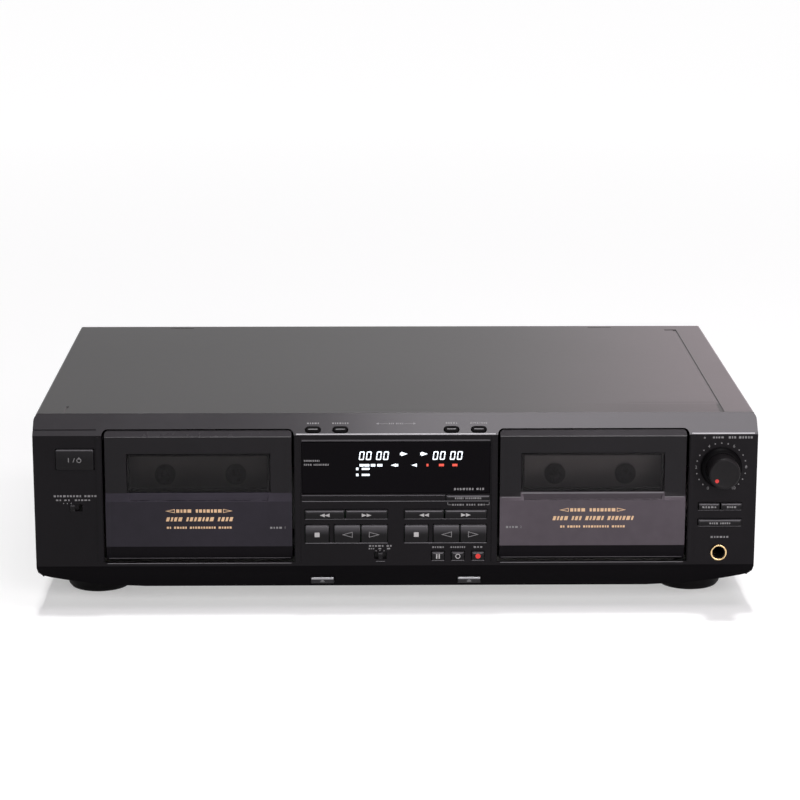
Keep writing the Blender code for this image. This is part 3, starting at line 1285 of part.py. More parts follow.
def make_rear_panel(material, parent):
    """The rear sheet with its vents and the openings for the jacks and the gland."""
    mesh = bmesh.new()
    add_block(mesh, (-TRAY_HALF, TRAY_HALF), (REAR_FRONT, REAR_BACK), (TRAY_BOTTOM, LIP_TOP))
    panel = piece("rear_panel", mesh, material, parent)
    mesh = bmesh.new()
    depths = (REAR_FRONT - OVERRUN, REAR_BACK + OVERRUN)
    width, height = jack_block_half()
    middle = TRAY_BOTTOM + JACK_RISE
    add_block(mesh, (JACK_OFFSET - width - GAP, JACK_OFFSET + width + GAP), depths,
              (middle - height - GAP, middle + height + GAP))
    radius = GLAND_NECK_RADIUS + GAP
    add_turned(mesh, [(radius, depths[0]), (radius, depths[1])],
               (-GLAND_OFFSET, 0, TRAY_BOTTOM + GLAND_RISE), "Y", SMALL_ROUND_COUNT)
    first = -REAR_VENT_OFFSET - REAR_VENT_PITCH * (REAR_VENT_COUNT - 1) / 2
    centre = (TRAY_BOTTOM + LIP_TOP) / 2
    for index in range(REAR_VENT_COUNT):
        across = first + index * REAR_VENT_PITCH
        add_block(mesh, (across - REAR_VENT_WIDTH / 2, across + REAR_VENT_WIDTH / 2), depths,
                  (centre - REAR_VENT_HEIGHT / 2, centre + REAR_VENT_HEIGHT / 2))
    shape_with(panel, mesh, "DIFFERENCE")


def make_jack_block(material, parent):
    """The pin-jack block: a body inside, a plate outside and four bored barrels."""
    width, height = jack_block_half()
    middle = TRAY_BOTTOM + JACK_RISE
    mesh = bmesh.new()
    add_block(mesh, (JACK_OFFSET - width, JACK_OFFSET + width),
              (REAR_FRONT - JACK_BODY_DEPTH, REAR_BACK + GAP + JACK_PLATE_WALL / 2),
              (middle - height, middle + height))
    block = piece("jack_block", mesh, material, parent, (JACK_OFFSET, REAR_BACK, middle))
    mesh = bmesh.new()
    wide = JACK_PITCH_ACROSS / 2 + JACK_PLATE_MARGIN
    tall = JACK_PITCH_UP / 2 + JACK_PLATE_MARGIN
    add_block(mesh, (JACK_OFFSET - wide, JACK_OFFSET + wide),
              (REAR_BACK + GAP, REAR_BACK + GAP + JACK_PLATE_WALL),
              (middle - tall, middle + tall))
    shape_with(block, mesh, "UNION")
    mesh = bmesh.new()
    tip = CASE_DEPTH + JACK_REACH
    for across, up in jack_places():
        add_turned(mesh, [(JACK_RADIUS, REAR_BACK + JACK_PLATE_WALL / 2), (JACK_RADIUS, tip)],
                   (across, 0, up), "Y", SMALL_ROUND_COUNT)
    shape_with(block, mesh, "UNION")
    mesh = bmesh.new()
    for across, up in jack_places():
        add_turned(mesh, [(JACK_BORE_RADIUS, tip - JACK_BORE_DEPTH),
                          (JACK_BORE_RADIUS, tip + OVERRUN)],
                   (across, 0, up), "Y", SMALL_ROUND_COUNT)
    shape_with(block, mesh, "DIFFERENCE")


def make_cord_gland(material, parent):
    """The bushing in the rear panel that the mains cord comes out of."""
    centre = (-GLAND_OFFSET, 0.0, TRAY_BOTTOM + GLAND_RISE)
    inside = REAR_FRONT - GAP - GLAND_FLANGE_WALL
    outside = REAR_BACK + GAP
    profile = [
        (GLAND_NECK_RADIUS, inside), (GLAND_NECK_RADIUS, outside),
        (GLAND_FLANGE_RADIUS, outside), (GLAND_FLANGE_RADIUS, outside + GLAND_FLANGE_WALL),
        (GLAND_NECK_RADIUS, outside + GLAND_REACH),
    ]
    mesh = bmesh.new()
    add_turned(mesh, profile, centre, "Y", SMALL_ROUND_COUNT)
    gland = piece("cord_gland", mesh, material, parent, centre, smooth=True)
    mesh = bmesh.new()
    add_turned(mesh, [(GLAND_BORE_RADIUS, inside - OVERRUN),
                      (GLAND_BORE_RADIUS, outside + GLAND_REACH + OVERRUN)],
               centre, "Y", SMALL_ROUND_COUNT)
    shape_with(gland, mesh, "DIFFERENCE")


def make_feet(material, parent):
    """Four round dished feet under the tray."""
    top = TRAY_BOTTOM - GAP
    profile = [
        (FOOT_RADIUS, top), (FOOT_RADIUS, top - FOOT_RIM), (FOOT_WAIST_RADIUS, FOOT_ROUNDING),
        (FOOT_BASE_RADIUS, 0.0), (FOOT_DISH_RADIUS, 0.0),
        (FOOT_DISH_RADIUS - FOOT_DISH_DEPTH, FOOT_DISH_DEPTH),
    ]
    across = PANEL_HALF - FOOT_INSET
    rows = (("front", FOOT_SETBACK), ("rear", CASE_DEPTH - FOOT_SETBACK))
    for row, depth in rows:
        for end, way in (("left", -1), ("right", 1)):
            centre = (way * across, depth, 0.0)
            mesh = bmesh.new()
            add_turned(mesh, profile, centre, "Z", ROUND_COUNT)
            piece("foot_%s_%s" % (row, end), mesh, material, parent, centre, smooth=True)


def make_main_board(material, parent):
    """The main board on its standoffs, with a heat sink and three capacitors."""
    (left, right), (front, back) = main_board_ends()
    bottom = TRAY_FLOOR + STANDOFF_HEIGHT
    top = bottom + BOARD_WALL
    mesh = bmesh.new()
    add_block(mesh, (left, right), (front, back), (bottom, top))
    board = piece("main_board", mesh, material, parent)
    mesh = bmesh.new()
    middle = (left + right) / 2
    centre = (front + back) / 2
    add_block(mesh, (middle - HEAT_SINK_WIDTH / 2, middle + HEAT_SINK_WIDTH / 2),
              (centre - HEAT_SINK_DEPTH / 2, centre + HEAT_SINK_DEPTH / 2),
              (bottom + BOARD_WALL / 2, top + HEAT_SINK_HEIGHT))
    for index in (-1, 0, 1):
        add_turned(mesh, [(CAPACITOR_RADIUS, bottom + BOARD_WALL / 2),
                          (CAPACITOR_RADIUS, top + CAPACITOR_HEIGHT)],
                   (middle + index * CAPACITOR_PITCH, front + CAPACITOR_PITCH, 0), "Z",
                   SMALL_ROUND_COUNT)
    shape_with(board, mesh, "UNION")


def make_control_board(material, parent):
    """The board behind the keys, with the display tube on its front."""
    half = CONSOLE_HALF + CONTROL_STANDOFF_WIDTH + 2 * GAP
    bottom = FACE_BOTTOM + CONTROL_BOARD_MARGIN
    top = FACE_TOP - CONTROL_BOARD_MARGIN
    mesh = bmesh.new()
    add_block(mesh, (-half, half), (CONTROL_BOARD_FRONT, CONTROL_BOARD_FRONT + BOARD_WALL),
              (bottom, top))
    board = piece("control_board", mesh, material, parent)
    mesh = bmesh.new()
    tube_half = display_half() - TUBE_MARGIN
    add_block(mesh, (-tube_half, tube_half),
              (CONTROL_BOARD_FRONT - TUBE_DEPTH, CONTROL_BOARD_FRONT + BOARD_WALL / 2),
              (DISPLAY_BOTTOM + TUBE_MARGIN, DISPLAY_TOP - TUBE_MARGIN))
    shape_with(board, mesh, "UNION")


def make_transformer(material, parent):
    """The power transformer on the tray: a laminated core with its winding."""
    left = -TRAY_HALF + TRANSFORMER_INSET
    back = REAR_FRONT - TRANSFORMER_INSET
    bottom = TRAY_FLOOR + GAP
    mesh = bmesh.new()
    add_block(mesh, (left, left + TRANSFORMER_WIDTH), (back - TRANSFORMER_DEPTH, back),
              (bottom, bottom + TRANSFORMER_HEIGHT))
    core = piece("power_transformer", mesh, material, parent)
    mesh = bmesh.new()
    middle = left + TRANSFORMER_WIDTH / 2
    half = TRANSFORMER_WIDTH * TRANSFORMER_COIL_SHARE / 2
    rise = TRANSFORMER_HEIGHT * TRANSFORMER_COIL_SHARE / 2
    centre = bottom + TRANSFORMER_HEIGHT / 2
    add_block(mesh, (middle - half, middle + half),
              (back - TRANSFORMER_DEPTH - TRANSFORMER_COIL_REACH, back + TRANSFORMER_COIL_REACH),
              (centre - rise, centre + rise))
    shape_with(core, mesh, "UNION")


def make_materials():
    """Every finish of the deck."""
    return {
        "panel": finish("panel_black", (0.012, 0.011, 0.013), 0.38),
        "cover": finish("cover_black", (0.018, 0.018, 0.019), 0.45, 0.2),
        "lid": finish("lid_black", (0.022, 0.019, 0.025), 0.3),
        "key": finish("key_black", (0.014, 0.013, 0.015), 0.35),
        "window": finish("smoked_window", (0.01, 0.009, 0.01), 0.08),
        "display": finish("display_pane", (0.004, 0.004, 0.005), 0.08),
        "holder": finish("holder_black", (0.01, 0.01, 0.01), 0.5),
        "knob": finish("knob_black", (0.012, 0.012, 0.013), 0.45),
        "gold": finish("socket_gold", (0.75, 0.5, 0.18), 0.25, 1.0),
        "spindle": finish("spindle_black", (0.03, 0.03, 0.03), 0.4),
        "steel": finish("plated_steel", (0.5, 0.5, 0.48), 0.35, 1.0),
        "bright": finish("bright_steel", (0.6, 0.6, 0.6), 0.2, 1.0),
        "foot": finish("foot_black", (0.012, 0.012, 0.012), 0.6),
        "board": finish("board_resin", (0.25, 0.14, 0.05), 0.5),
        "core": finish("core_steel", (0.2, 0.19, 0.18), 0.5, 0.8),
        "jack": finish("jack_black", (0.02, 0.02, 0.02), 0.5),
    }


def make_deck():
    """Build the whole cassette deck."""
    root = bpy.data.objects.new("deck_origin", None)
    root.location = (0.0, FACE_Y, 0.0)
    bpy.context.scene.collection.objects.link(root)
    looks = make_materials()
    make_front_panel(looks["panel"], root)
    make_display_window(looks["display"], root)
    make_keys(looks, root)
    make_oval_keys(looks["key"], root)
    make_eject_keys(looks["bright"], root)
    make_slide_switches(looks["key"], root)
    make_level_knob(looks["knob"], root)
    make_phones_jack(looks["gold"], root)
    for label, side in DECKS:
        make_door_lid(label, side, looks["lid"], root)
        make_door_window(label, side, looks["window"], root)
        make_cassette_holder(label, side, looks["holder"], root)
        make_mechanism_frame(label, side, looks["steel"], root)
        make_reel_spindles(label, side, looks["spindle"], root)
        make_capstans(label, side, looks["bright"], root)
        make_head_carriage(label, side, looks["steel"], root)
    make_top_cover(looks["cover"], root)
    make_chassis_tray(looks["steel"], root)
    make_rear_panel(looks["cover"], root)
    make_jack_block(looks["jack"], root)
    make_cord_gland(looks["jack"], root)
    make_feet(looks["foot"], root)
    make_main_board(looks["board"], root)
    make_control_board(looks["board"], root)
    make_transformer(looks["core"], root)


clear_scene()
make_deck()
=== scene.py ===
"""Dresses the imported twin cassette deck: finishes, softened edges, key caps, prints, display, stage."""

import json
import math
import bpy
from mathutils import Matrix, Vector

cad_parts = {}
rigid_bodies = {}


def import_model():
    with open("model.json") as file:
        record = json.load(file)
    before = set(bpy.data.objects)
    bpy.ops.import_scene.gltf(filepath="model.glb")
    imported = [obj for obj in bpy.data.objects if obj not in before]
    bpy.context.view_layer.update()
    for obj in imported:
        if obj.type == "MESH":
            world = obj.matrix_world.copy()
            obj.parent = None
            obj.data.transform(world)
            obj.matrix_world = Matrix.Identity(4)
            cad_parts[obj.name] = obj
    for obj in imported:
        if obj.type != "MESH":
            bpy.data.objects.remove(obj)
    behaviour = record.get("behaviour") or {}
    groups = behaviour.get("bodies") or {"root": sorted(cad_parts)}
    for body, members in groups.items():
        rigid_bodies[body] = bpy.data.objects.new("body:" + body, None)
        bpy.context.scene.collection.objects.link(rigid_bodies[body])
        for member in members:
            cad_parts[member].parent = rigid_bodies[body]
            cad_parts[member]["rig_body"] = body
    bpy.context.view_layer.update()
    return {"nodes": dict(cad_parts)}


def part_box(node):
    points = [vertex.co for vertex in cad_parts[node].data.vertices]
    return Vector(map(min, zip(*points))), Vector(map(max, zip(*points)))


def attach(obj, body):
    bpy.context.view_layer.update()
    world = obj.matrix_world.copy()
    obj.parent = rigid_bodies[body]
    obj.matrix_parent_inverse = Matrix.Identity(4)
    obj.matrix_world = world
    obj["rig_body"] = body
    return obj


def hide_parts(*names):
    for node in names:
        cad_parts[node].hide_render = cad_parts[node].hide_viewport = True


bl_info = {
    "name": "Twin Cassette Deck",
    "version": (1, 0, 0),
    "blender": (4, 5, 0),
    "location": "View3D > Sidebar > Cassette Deck",
    "description": "Dresses the packed cassette deck with its finishes, key caps, prints and stage",
    "category": "Object",
}

from contextlib import contextmanager
from functools import wraps

import bmesh
import bpy
from bpy.props import FloatProperty, FloatVectorProperty, IntProperty, PointerProperty
from bpy.types import Operator, Panel, PropertyGroup
from mathutils import Matrix, Vector
from mathutils.bvhtree import BVHTree

# Frame

for leftover in list(bpy.data.objects):
    bpy.data.objects.remove(leftover)
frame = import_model()

MM = 0.001
FACE_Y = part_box("display_window")[0].y
RIGHT, BACK, UP = Vector((1, 0, 0)), Vector((0, 1, 0)), Vector((0, 0, 1))
OUT = -BACK

# Settings


def length(label, text, default, high=20.0):
    """A length property in metres, from a default in millimetres."""
    return FloatProperty(
        name=label, description=text, default=default * MM, min=0.0, max=high * MM, unit="LENGTH", precision=5
    )


def colour(label, text, default):
    """A colour property in linear values."""
    return FloatVectorProperty(
        name=label, description=text, default=default, subtype="COLOR", size=3, min=0.0, max=1.0
    )


def level(label, text, default, low=0.0, unit="NONE"):
    """A plain number, or a power, with a lowest value."""
    return FloatProperty(name=label, description=text, default=default, min=low, unit=unit)


class DeckSizes(PropertyGroup):
    """Sizes of the dressed pieces that a user may change."""

    moulding_edge: length("Moulding edge", "Radius on the edges of the moulded front", 0.3)
    sheet_edge: length("Sheet edge", "Radius on the edges of the folded sheet parts", 0.2)
    door_edge: length("Door edge", "Radius on the edges of the cassette doors", 0.3)
    key_edge: length("Key edge", "Radius round the front of each key cap", 0.6)
    key_crown: length("Key crown", "How far the top of a tall key cap leans back", 1.2)
    cover_dip: length("Cover dip", "How far the cover falls along its front edge at the right", 0.6)
    print_height: length("Print height", "How far the ink stands off the surface", 0.03)
    knob_rib_depth: length("Knob rib depth", "Depth of the grip ribs on the level knob", 0.12)
    knob_ribs: IntProperty(
        name="Knob ribs", description="Grip ribs round the knob", default=48, min=12, max=96
    )
    pointer_radius: length("Pointer radius", "Radius of the red dot on the knob", 1.15)
    screw_radius: length("Screw radius", "Head radius of the case screws", 3.2)
    screw_height: length("Screw height", "How far a screw head stands off its sheet", 0.7)


class DeckColours(PropertyGroup):
    """Colours of the finishes that a user may change."""

    casing: colour("Casing", "Moulded front panel", (0.0046, 0.0037, 0.0049))
    cover: colour("Cover", "Painted sheet of the top cover", (0.028, 0.026, 0.027))
    # Painted highlight: the same moulding as the casing, made lighter where it slopes up toward the light.
    bevel: colour("Bevel", "Sloped top of the front panel", (0.030, 0.0275, 0.031))
    # Painted shade: the same moulding as the casing, made darker where it faces down.
    chin: colour("Chin", "Receding foot of the front panel and doors", (0.0022, 0.0018, 0.0024))
    lid: colour("Door", "Upper part of the cassette doors", (0.0062, 0.0052, 0.0066))
    # Painted light and shade: both door panels are one metallic finish; the left is painted darker and the
    # right lighter.
    lid_panel_a_painted_shade: colour("Left door panel", "Metallic lower panel of the left door", (0.019, 0.0165, 0.0225))
    lid_panel_b_painted_light: colour("Right door panel", "Metallic lower panel of the right door", (0.068, 0.057, 0.067))
    key: colour("Keys", "Moulded key caps", (0.0052, 0.0046, 0.0054))
    # Painted highlight: the tops of the key caps are lighter where they lean back under the light.
    key_top_painted_highlight: colour("Key tops", "Lighter tone where a key cap leans back", (0.080, 0.076, 0.083))
    label: colour("Labels", "Grey ink of the marks", (0.20, 0.195, 0.20))
    symbol: colour("Symbols", "Pale ink of the transport symbols", (0.42, 0.41, 0.41))
    # Painted highlight: the pale line where the lower edge of the bevel catches the light.
    trim: colour("Trim lines", "Pale line along the lower edge of the bevel", (0.40, 0.39, 0.41))
    # Painted highlight: pale lines where ribs, sills, door feet and key tops catch the light.
    sheen: colour("Rib lines", "Light lines along ribs and key tops", (0.14, 0.135, 0.145))
    # Painted highlight, dimmer than the rib lines: the strip above the display.
    strip: colour("Strip", "Dim strip above the display", (0.055, 0.052, 0.057))
    gold_ink: colour("Gold ink", "Ink of the rows on the doors", (0.66, 0.44, 0.26))
    red: colour("Red", "Red of the record mark and the pointer", (0.62, 0.035, 0.030))
    glow: colour("Display glow", "Light of the display digits", (0.86, 0.93, 1.0))
    glow_red: colour("Display red", "Light of the red display marks", (1.0, 0.10, 0.06))


class StageSettings(PropertyGroup):
    """Camera and light of the studio stage."""

    focal_length: level("Focal length", "Lens in millimetres", 113.61, low=20.0)
    floor_size: length("Floor size", "Side of the square floor", 24000.0, 60000.0)
    sun_level: level("Sun level", "Overhead light that casts the shadow", 1.7)
    softbox_power: level("Softbox", "Lamp over the front", 3.4, unit="POWER")
    brow_power: level("Brow lamp", "Lamp above the camera", 17.0, unit="POWER")
    low_power: level("Low lamp", "Lamp at the front right", 6.0, unit="POWER")
    world_level: level("World level", "Light from all round", 0.15)
    floor_glow: level("Floor glow", "White that the camera adds to the floor", 0.365)


# Points and faces


def around(centre, axis, along, count, reach):
    """A ring of points about an axis, whose radius is a function of the turn."""
    side = axis.orthogonal().normalized()
    across = axis.cross(side).normalized()
    turns = [2 * math.pi * i / count for i in range(count)]
    return [centre + axis * along + (side * math.cos(t) + across * math.sin(t)) * reach(t) for t in turns]


class Shape:
    """The points and faces of a piece while it is put together."""

    def __init__(self):
        self.points, self.faces, self.finishes = [], [], []

    def add(self, points, faces, finish=0):
        """Adds a part with its own face list, all in one finish."""
        start = len(self.points)
        self.points.extend(Vector(p) for p in points)
        self.faces.extend([start + i for i in face] for face in faces)
        self.finishes.extend([finish] * len(faces))
        return self

    def loft(self, rings, finish=0, first=True, last=True):
        """Joins closed rings of equal length, and closes the ends."""
        count = len(rings[0])
        points = [p for ring in rings for p in ring]
        faces = [
            (r * count + i, r * count + (i + 1) % count,
             (r + 1) * count + (i + 1) % count, (r + 1) * count + i)
            for r in range(len(rings) - 1)
            for i in range(count)
        ]
        if first:
            faces.append(tuple(reversed(range(count))))
        if last:
            faces.append(tuple(range(len(points) - count, len(points))))
        return self.add(points, faces, finish)

    def turned(self, centre, axis, profile, count, finish, first=False):
        """Revolves (radius, distance along the axis) pairs in millimetres, and leaves the far end open."""
        rings = [around(centre, axis, h * MM, count, lambda turn, r=r: r * MM) for r, h in profile]
        return self.loft(rings, finish, first, last=False)

    def box(self, low, high):
        """A block between two corners."""
        a, b = Vector(low), Vector(high)
        ring = [(a.x, a.z), (b.x, a.z), (b.x, b.z), (a.x, b.z)]
        return self.loft([[Vector((x, y, z)) for x, z in ring] for y in (b.y, a.y)])


class Plane:
    """A flat place on the deck with its own right, up and outward directions."""

    def __init__(self, origin, out):
        self.origin, self.out = Vector(origin), Vector(out).normalized()
        self.up = self.out.cross(RIGHT).normalized()

    def at(self, u, v, w=0.0):
        """The point u to the right, v up and w outward."""
        return self.origin + RIGHT * u + self.up * v + self.out * w


def circle(centre, radius, count):
    """Points of a circle in a plane."""
    turns = [2 * math.pi * i / count for i in range(count)]
    return [(centre[0] + radius * math.cos(t), centre[1] + radius * math.sin(t)) for t in turns]


CORNER_STEPS = 4


def oblong(centre, width, height, radius):
    """Points of a rectangle with rounded corners."""
    points = []
    for corner in range(4):
        mid_u = centre[0] + (width / 2 - radius) * (1, -1, -1, 1)[corner]
        mid_v = centre[1] + (height / 2 - radius) * (1, 1, -1, -1)[corner]
        for step in range(CORNER_STEPS + 1):
            turn = math.pi / 2 * (corner + step / CORNER_STEPS)
            points.append((mid_u + radius * math.cos(turn), mid_v + radius * math.sin(turn)))
    return points


@contextmanager
def edited(mesh):
    """The mesh opened for editing, and written back afterwards."""
    work = bmesh.new()
    work.from_mesh(mesh)
    yield work
    work.to_mesh(mesh)
    work.free()


def cut_along(work, spot, way, faces=None, snap=0.0):
    """Cuts the whole mesh, or some of its faces, along a plane."""
    geometry = [*work.verts, *work.edges, *work.faces]
    if faces is not None:
        edges = {edge for face in faces for edge in face.edges}
        verts = {vert for face in faces for vert in face.verts}
        geometry = [*verts, *edges, *faces]
    bmesh.ops.bisect_plane(work, geom=geometry, dist=snap, plane_co=spot, plane_no=way)


def placed(name, data):
    """A new object in the scene."""
    made = bpy.data.objects.new(name, data)
    bpy.context.scene.collection.objects.link(made)
    return made


def made_object(name, shape, materials, smooth=True):
    """An object from a shape, with one material for each finish."""
    mesh = bpy.data.meshes.new(name)
    mesh.from_pydata([tuple(p) for p in shape.points], [], shape.faces)
    for material in materials:
        mesh.materials.append(material)
    for polygon, finish in zip(mesh.polygons, shape.finishes):
        polygon.material_index = finish
    mesh.validate()
    with edited(mesh) as solid:
        bmesh.ops.recalc_face_normals(solid, faces=solid.faces)
    if smooth:
        mesh.shade_smooth()
    return placed(name, mesh)


def fitted(piece, body, nodes=()):
    """Makes a piece ride on its body and the nodes that it stands for."""
    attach(piece, body)
    if nodes:
        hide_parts(*nodes)
    return piece


def evened(piece):
    """Keeps wide faces flat where they meet small rounded ones."""
    even = piece.modifiers.new("Even shading", "WEIGHTED_NORMAL")
    even.keep_sharp = True
    even.weight = 60
    return piece


WELD = 0.002 * MM
FLAT_ANGLE = math.radians(0.6)
SHARP_ANGLE = math.radians(32.0)


def softened(node, edge, materials, finish_of=None, segments=2):
    """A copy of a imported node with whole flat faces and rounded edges, which takes the node's place."""
    source = frame["nodes"][node]
    solid = bmesh.new()
    solid.from_mesh(source.data)
    bmesh.ops.remove_doubles(solid, verts=solid.verts, dist=WELD)
    bmesh.ops.dissolve_limit(solid, angle_limit=FLAT_ANGLE, verts=solid.verts, edges=solid.edges)
    sharp = [e for e in solid.edges if len(e.link_faces) == 2 and e.calc_face_angle() > SHARP_ANGLE]
    edge_wear_and_painted_highlight = solid.verts.layers.float.new("edge")
    made = bmesh.ops.bevel(solid, geom=sharp, offset=edge, offset_type="OFFSET", segments=segments,
                           profile=0.5, affect="EDGES", clamp_overlap=True, loop_slide=True)
    rounded = set(made["faces"])
    for vertex in solid.verts:
        vertex[edge_wear_and_painted_highlight] = float(bool(vertex.link_faces) and all(f in rounded for f in vertex.link_faces))
    mesh = bpy.data.meshes.new(f"{node}_dressed")
    solid.to_mesh(mesh)
    solid.free()
    for material in materials:
        mesh.materials.append(material)
    for polygon in mesh.polygons:
        polygon.material_index = finish_of(polygon) if finish_of else 0
    mesh.shade_smooth()
    return fitted(evened(placed(mesh.name, mesh)), source["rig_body"], (node,))


def middle_of(node):
    """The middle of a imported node, across and up."""
    low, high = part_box(node)
    return (low.x + high.x) / 2, (low.z + high.z) / 2


# Effects shared by the finishes


def new_group(name, inputs, outputs):
    """An empty node group with named inputs and outputs."""
    group = bpy.data.node_groups.new(name, "ShaderNodeTree")
    for label, default in inputs:
        kind = "NodeSocketVector" if isinstance(default, tuple) else "NodeSocketFloat"
        socket = group.interface.new_socket(name=label, in_out="INPUT", socket_type=kind)
        socket.default_value = default
    for label in outputs:
        group.interface.new_socket(name=label, in_out="OUTPUT", socket_type="NodeSocketFloat")
    return group, group.nodes.new("NodeGroupInput"), group.nodes.new("NodeGroupOutput")


def feed(tree, node, values):
    """Sets a node's inputs to plain values, or links them to the outputs of other nodes."""
    for label, value in values.items():
        if isinstance(value, bpy.types.NodeSocket):
            tree.links.new(value, node.inputs[label])
        else:
            node.inputs[label].default_value = value
    return node


def arithmetic(tree, operation, first, second, clamp=False):
    """A Math node whose two inputs are sockets or numbers."""
    node = tree.nodes.new("ShaderNodeMath")
    node.operation, node.use_clamp = operation, clamp
    return feed(tree, node, {0: first, 1: second}).outputs[0]


def times(tree, first, second):
    """The product of two sockets or numbers."""
    return arithmetic(tree, "MULTIPLY", first, second)


def spread(tree, value, low, high, source_low=0.0, source_high=1.0):
    """A Map Range node from the source range to low and high, which may be sockets."""
    ends = {"From Min": source_low, "From Max": source_high, "To Min": low, "To Max": high}
    return feed(tree, tree.nodes.new("ShaderNodeMapRange"), {"Value": value, **ends}).outputs["Result"]


def noise(tree, vector, scale, detail, roughness):
    """A noise texture's value."""
    values = {"Vector": vector, "Scale": scale, "Detail": detail, "Roughness": roughness}
    return feed(tree, tree.nodes.new("ShaderNodeTexNoise"), values).outputs["Fac"]


def place(tree):
    """The point on the piece, in metres from the deck's own origin."""
    return tree.nodes.new("ShaderNodeTexCoord").outputs["Object"]


def build_moulded_grain():
    """Fine surface grain with slow changes of gloss and tone."""
    inputs = (("Grain Scale", 2600.0), ("Roughness", 0.5), ("Roughness Spread", 0.08), ("Tone Spread", 0.15))
    group, given, result = new_group("Moulded Grain", inputs, ("Height", "Roughness", "Tone"))
    where = place(group)
    slow, middling = noise(group, where, 14.0, 5.0, 0.6), noise(group, where, 160.0, 3.0, 0.5)
    blend = arithmetic(group, "ADD", times(group, slow, 0.7), times(group, middling, 0.3))
    centred = arithmetic(group, "SUBTRACT", blend, 0.5)
    swing = times(group, centred, given.outputs["Roughness Spread"])
    feed(group, result, {
        "Height": noise(group, where, given.outputs["Grain Scale"], 4.0, 0.65),
        "Roughness": arithmetic(group, "ADD", given.outputs["Roughness"], swing),
        "Tone": arithmetic(group, "ADD", 0.5, times(group, centred, given.outputs["Tone Spread"]), True),
    })
    return group


def facing_up(group, low, high):
    """A share that grows as the surface turns upward."""
    normal = group.nodes.new("ShaderNodeNewGeometry").outputs["Normal"]
    facing = feed(group, group.nodes.new("ShaderNodeSeparateXYZ"), {0: normal})
    return spread(group, facing.outputs["Z"], 0.0, 1.0, low, high)


def build_edge_wear():
    """Broken rubbing along the rounded edges, and a painted highlight along the ones that face up."""
    inputs = (("Amount", 0.5), ("Upward", 0.0), ("Break Scale", 300.0))
    group, given, result = new_group("Edge Wear And Painted Highlight", inputs, ("Mask",))
    edge = group.nodes.new("ShaderNodeAttribute")
    edge.attribute_name = "edge"
    broken = noise(group, place(group), given.outputs["Break Scale"], 4.0, 0.7)
    rubbed = times(group, spread(group, broken, 0.0, 1.0, 0.42, 0.62), given.outputs["Amount"])
    # Edges that face up are made paler: painted highlight, not wear.
    painted_edge_highlight = times(group, facing_up(group, 0.35, 0.8), given.outputs["Upward"])
    both = arithmetic(group, "ADD", rubbed, painted_edge_highlight, True)
    feed(group, result, {"Mask": times(group, edge.outputs["Fac"], both)})
    return group


def build_upward_painted_highlight():
    """Painted highlight on the part of a surface that leans back under the light."""
    group, given, result = new_group("Upward Painted Highlight", (("Amount", 1.0),), ("Mask",))
    feed(group, result, {"Mask": times(group, facing_up(group, 0.0, 0.42), given.outputs["Amount"])})
    return group


def build_settled_dust():
    """Thin dust that lies on faces turned upward."""
    group, given, result = new_group("Settled Dust", (("Amount", 0.3), ("Patch Scale", 6.0)), ("Mask",))
    broad = noise(group, place(group), given.outputs["Patch Scale"], 6.0, 0.62)
    fine = noise(group, place(group), 900.0, 2.0, 0.5)
    patches, specks = spread(group, broad, 0.3, 1.0, 0.35, 0.75), spread(group, fine, 0.6, 1.0, 0.45, 0.6)
    mask = times(group, times(group, facing_up(group, 0.5, 1.0), patches), specks)
    feed(group, result, {"Mask": times(group, mask, given.outputs["Amount"])})
    return group


def build_drawn_lines():
    """Lines left by drawing or brushing a metal in one direction."""
    inputs = (("Stretch", (40.0, 1600.0, 1600.0)), ("Contrast", 0.5))
    group, given, result = new_group("Drawn Lines", inputs, ("Height", "Streak"))
    stretched = group.nodes.new("ShaderNodeVectorMath")
    stretched.operation = "MULTIPLY"
    feed(group, stretched, {0: place(group), 1: given.outputs["Stretch"]})
    lines = noise(group, stretched.outputs[0], 1.0, 5.0, 0.6)
    swing = times(group, arithmetic(group, "SUBTRACT", lines, 0.5), given.outputs["Contrast"])
    feed(group, result, {"Height": lines, "Streak": arithmetic(group, "ADD", 0.5, swing, True)})
    return group


EFFECT_BUILDERS = {
    "Moulded Grain": build_moulded_grain,
    "Edge Wear And Painted Highlight": build_edge_wear,
    "Upward Painted Highlight": build_upward_painted_highlight,
    "Settled Dust": build_settled_dust,
    "Drawn Lines": build_drawn_lines,
}
effects = {}


def effect(material, name, **values):
    """Places a shared effect in a material, with its own values."""
    if name not in effects:
        effects[name] = EFFECT_BUILDERS[name]()
    node = material.node_tree.nodes.new("ShaderNodeGroup")
    node.node_tree = effects[name]
    return feed(material.node_tree, node, {label.replace("_", " "): value for label, value in values.items()})


# Finishes

finishes = {}


def kept(build):
    """Makes a finish when its name is first asked for, and gives the same one after that."""

    @wraps(build)
    def found(name, *looks, **named_looks):
        if name not in finishes:
            finishes[name] = build(name, *looks, **named_looks)
        return finishes[name]

    return found


def blank(name):
    """A material with a Principled shader, its tree and the shader."""
    material = bpy.data.materials.new(name)
    material.use_nodes = True
    return material, material.node_tree, material.node_tree.nodes["Principled BSDF"]


def grained(material, scale, rough, rough_spread, tone_spread):
    """The shared grain with a finish's own values."""
    return effect(material, "Moulded Grain", Grain_Scale=scale, Roughness=rough,
                  Roughness_Spread=rough_spread, Tone_Spread=tone_spread)


def scaled(tint, factor):
    """A colour made lighter or darker."""
    return tuple(min(c * factor, 1.0) for c in tint)


def rgba(tint):
    """A colour with full cover; a socket stays as it is."""
    return tint if isinstance(tint, bpy.types.NodeSocket) else (*tint, 1.0)


def mixed(tree, factor, first, second):
    """A colour mix whose two sides are sockets or colours."""
    node = tree.nodes.new("ShaderNodeMix")
    node.data_type = "RGBA"
    return feed(tree, node, {0: factor, 6: rgba(first), 7: rgba(second)}).outputs[2]


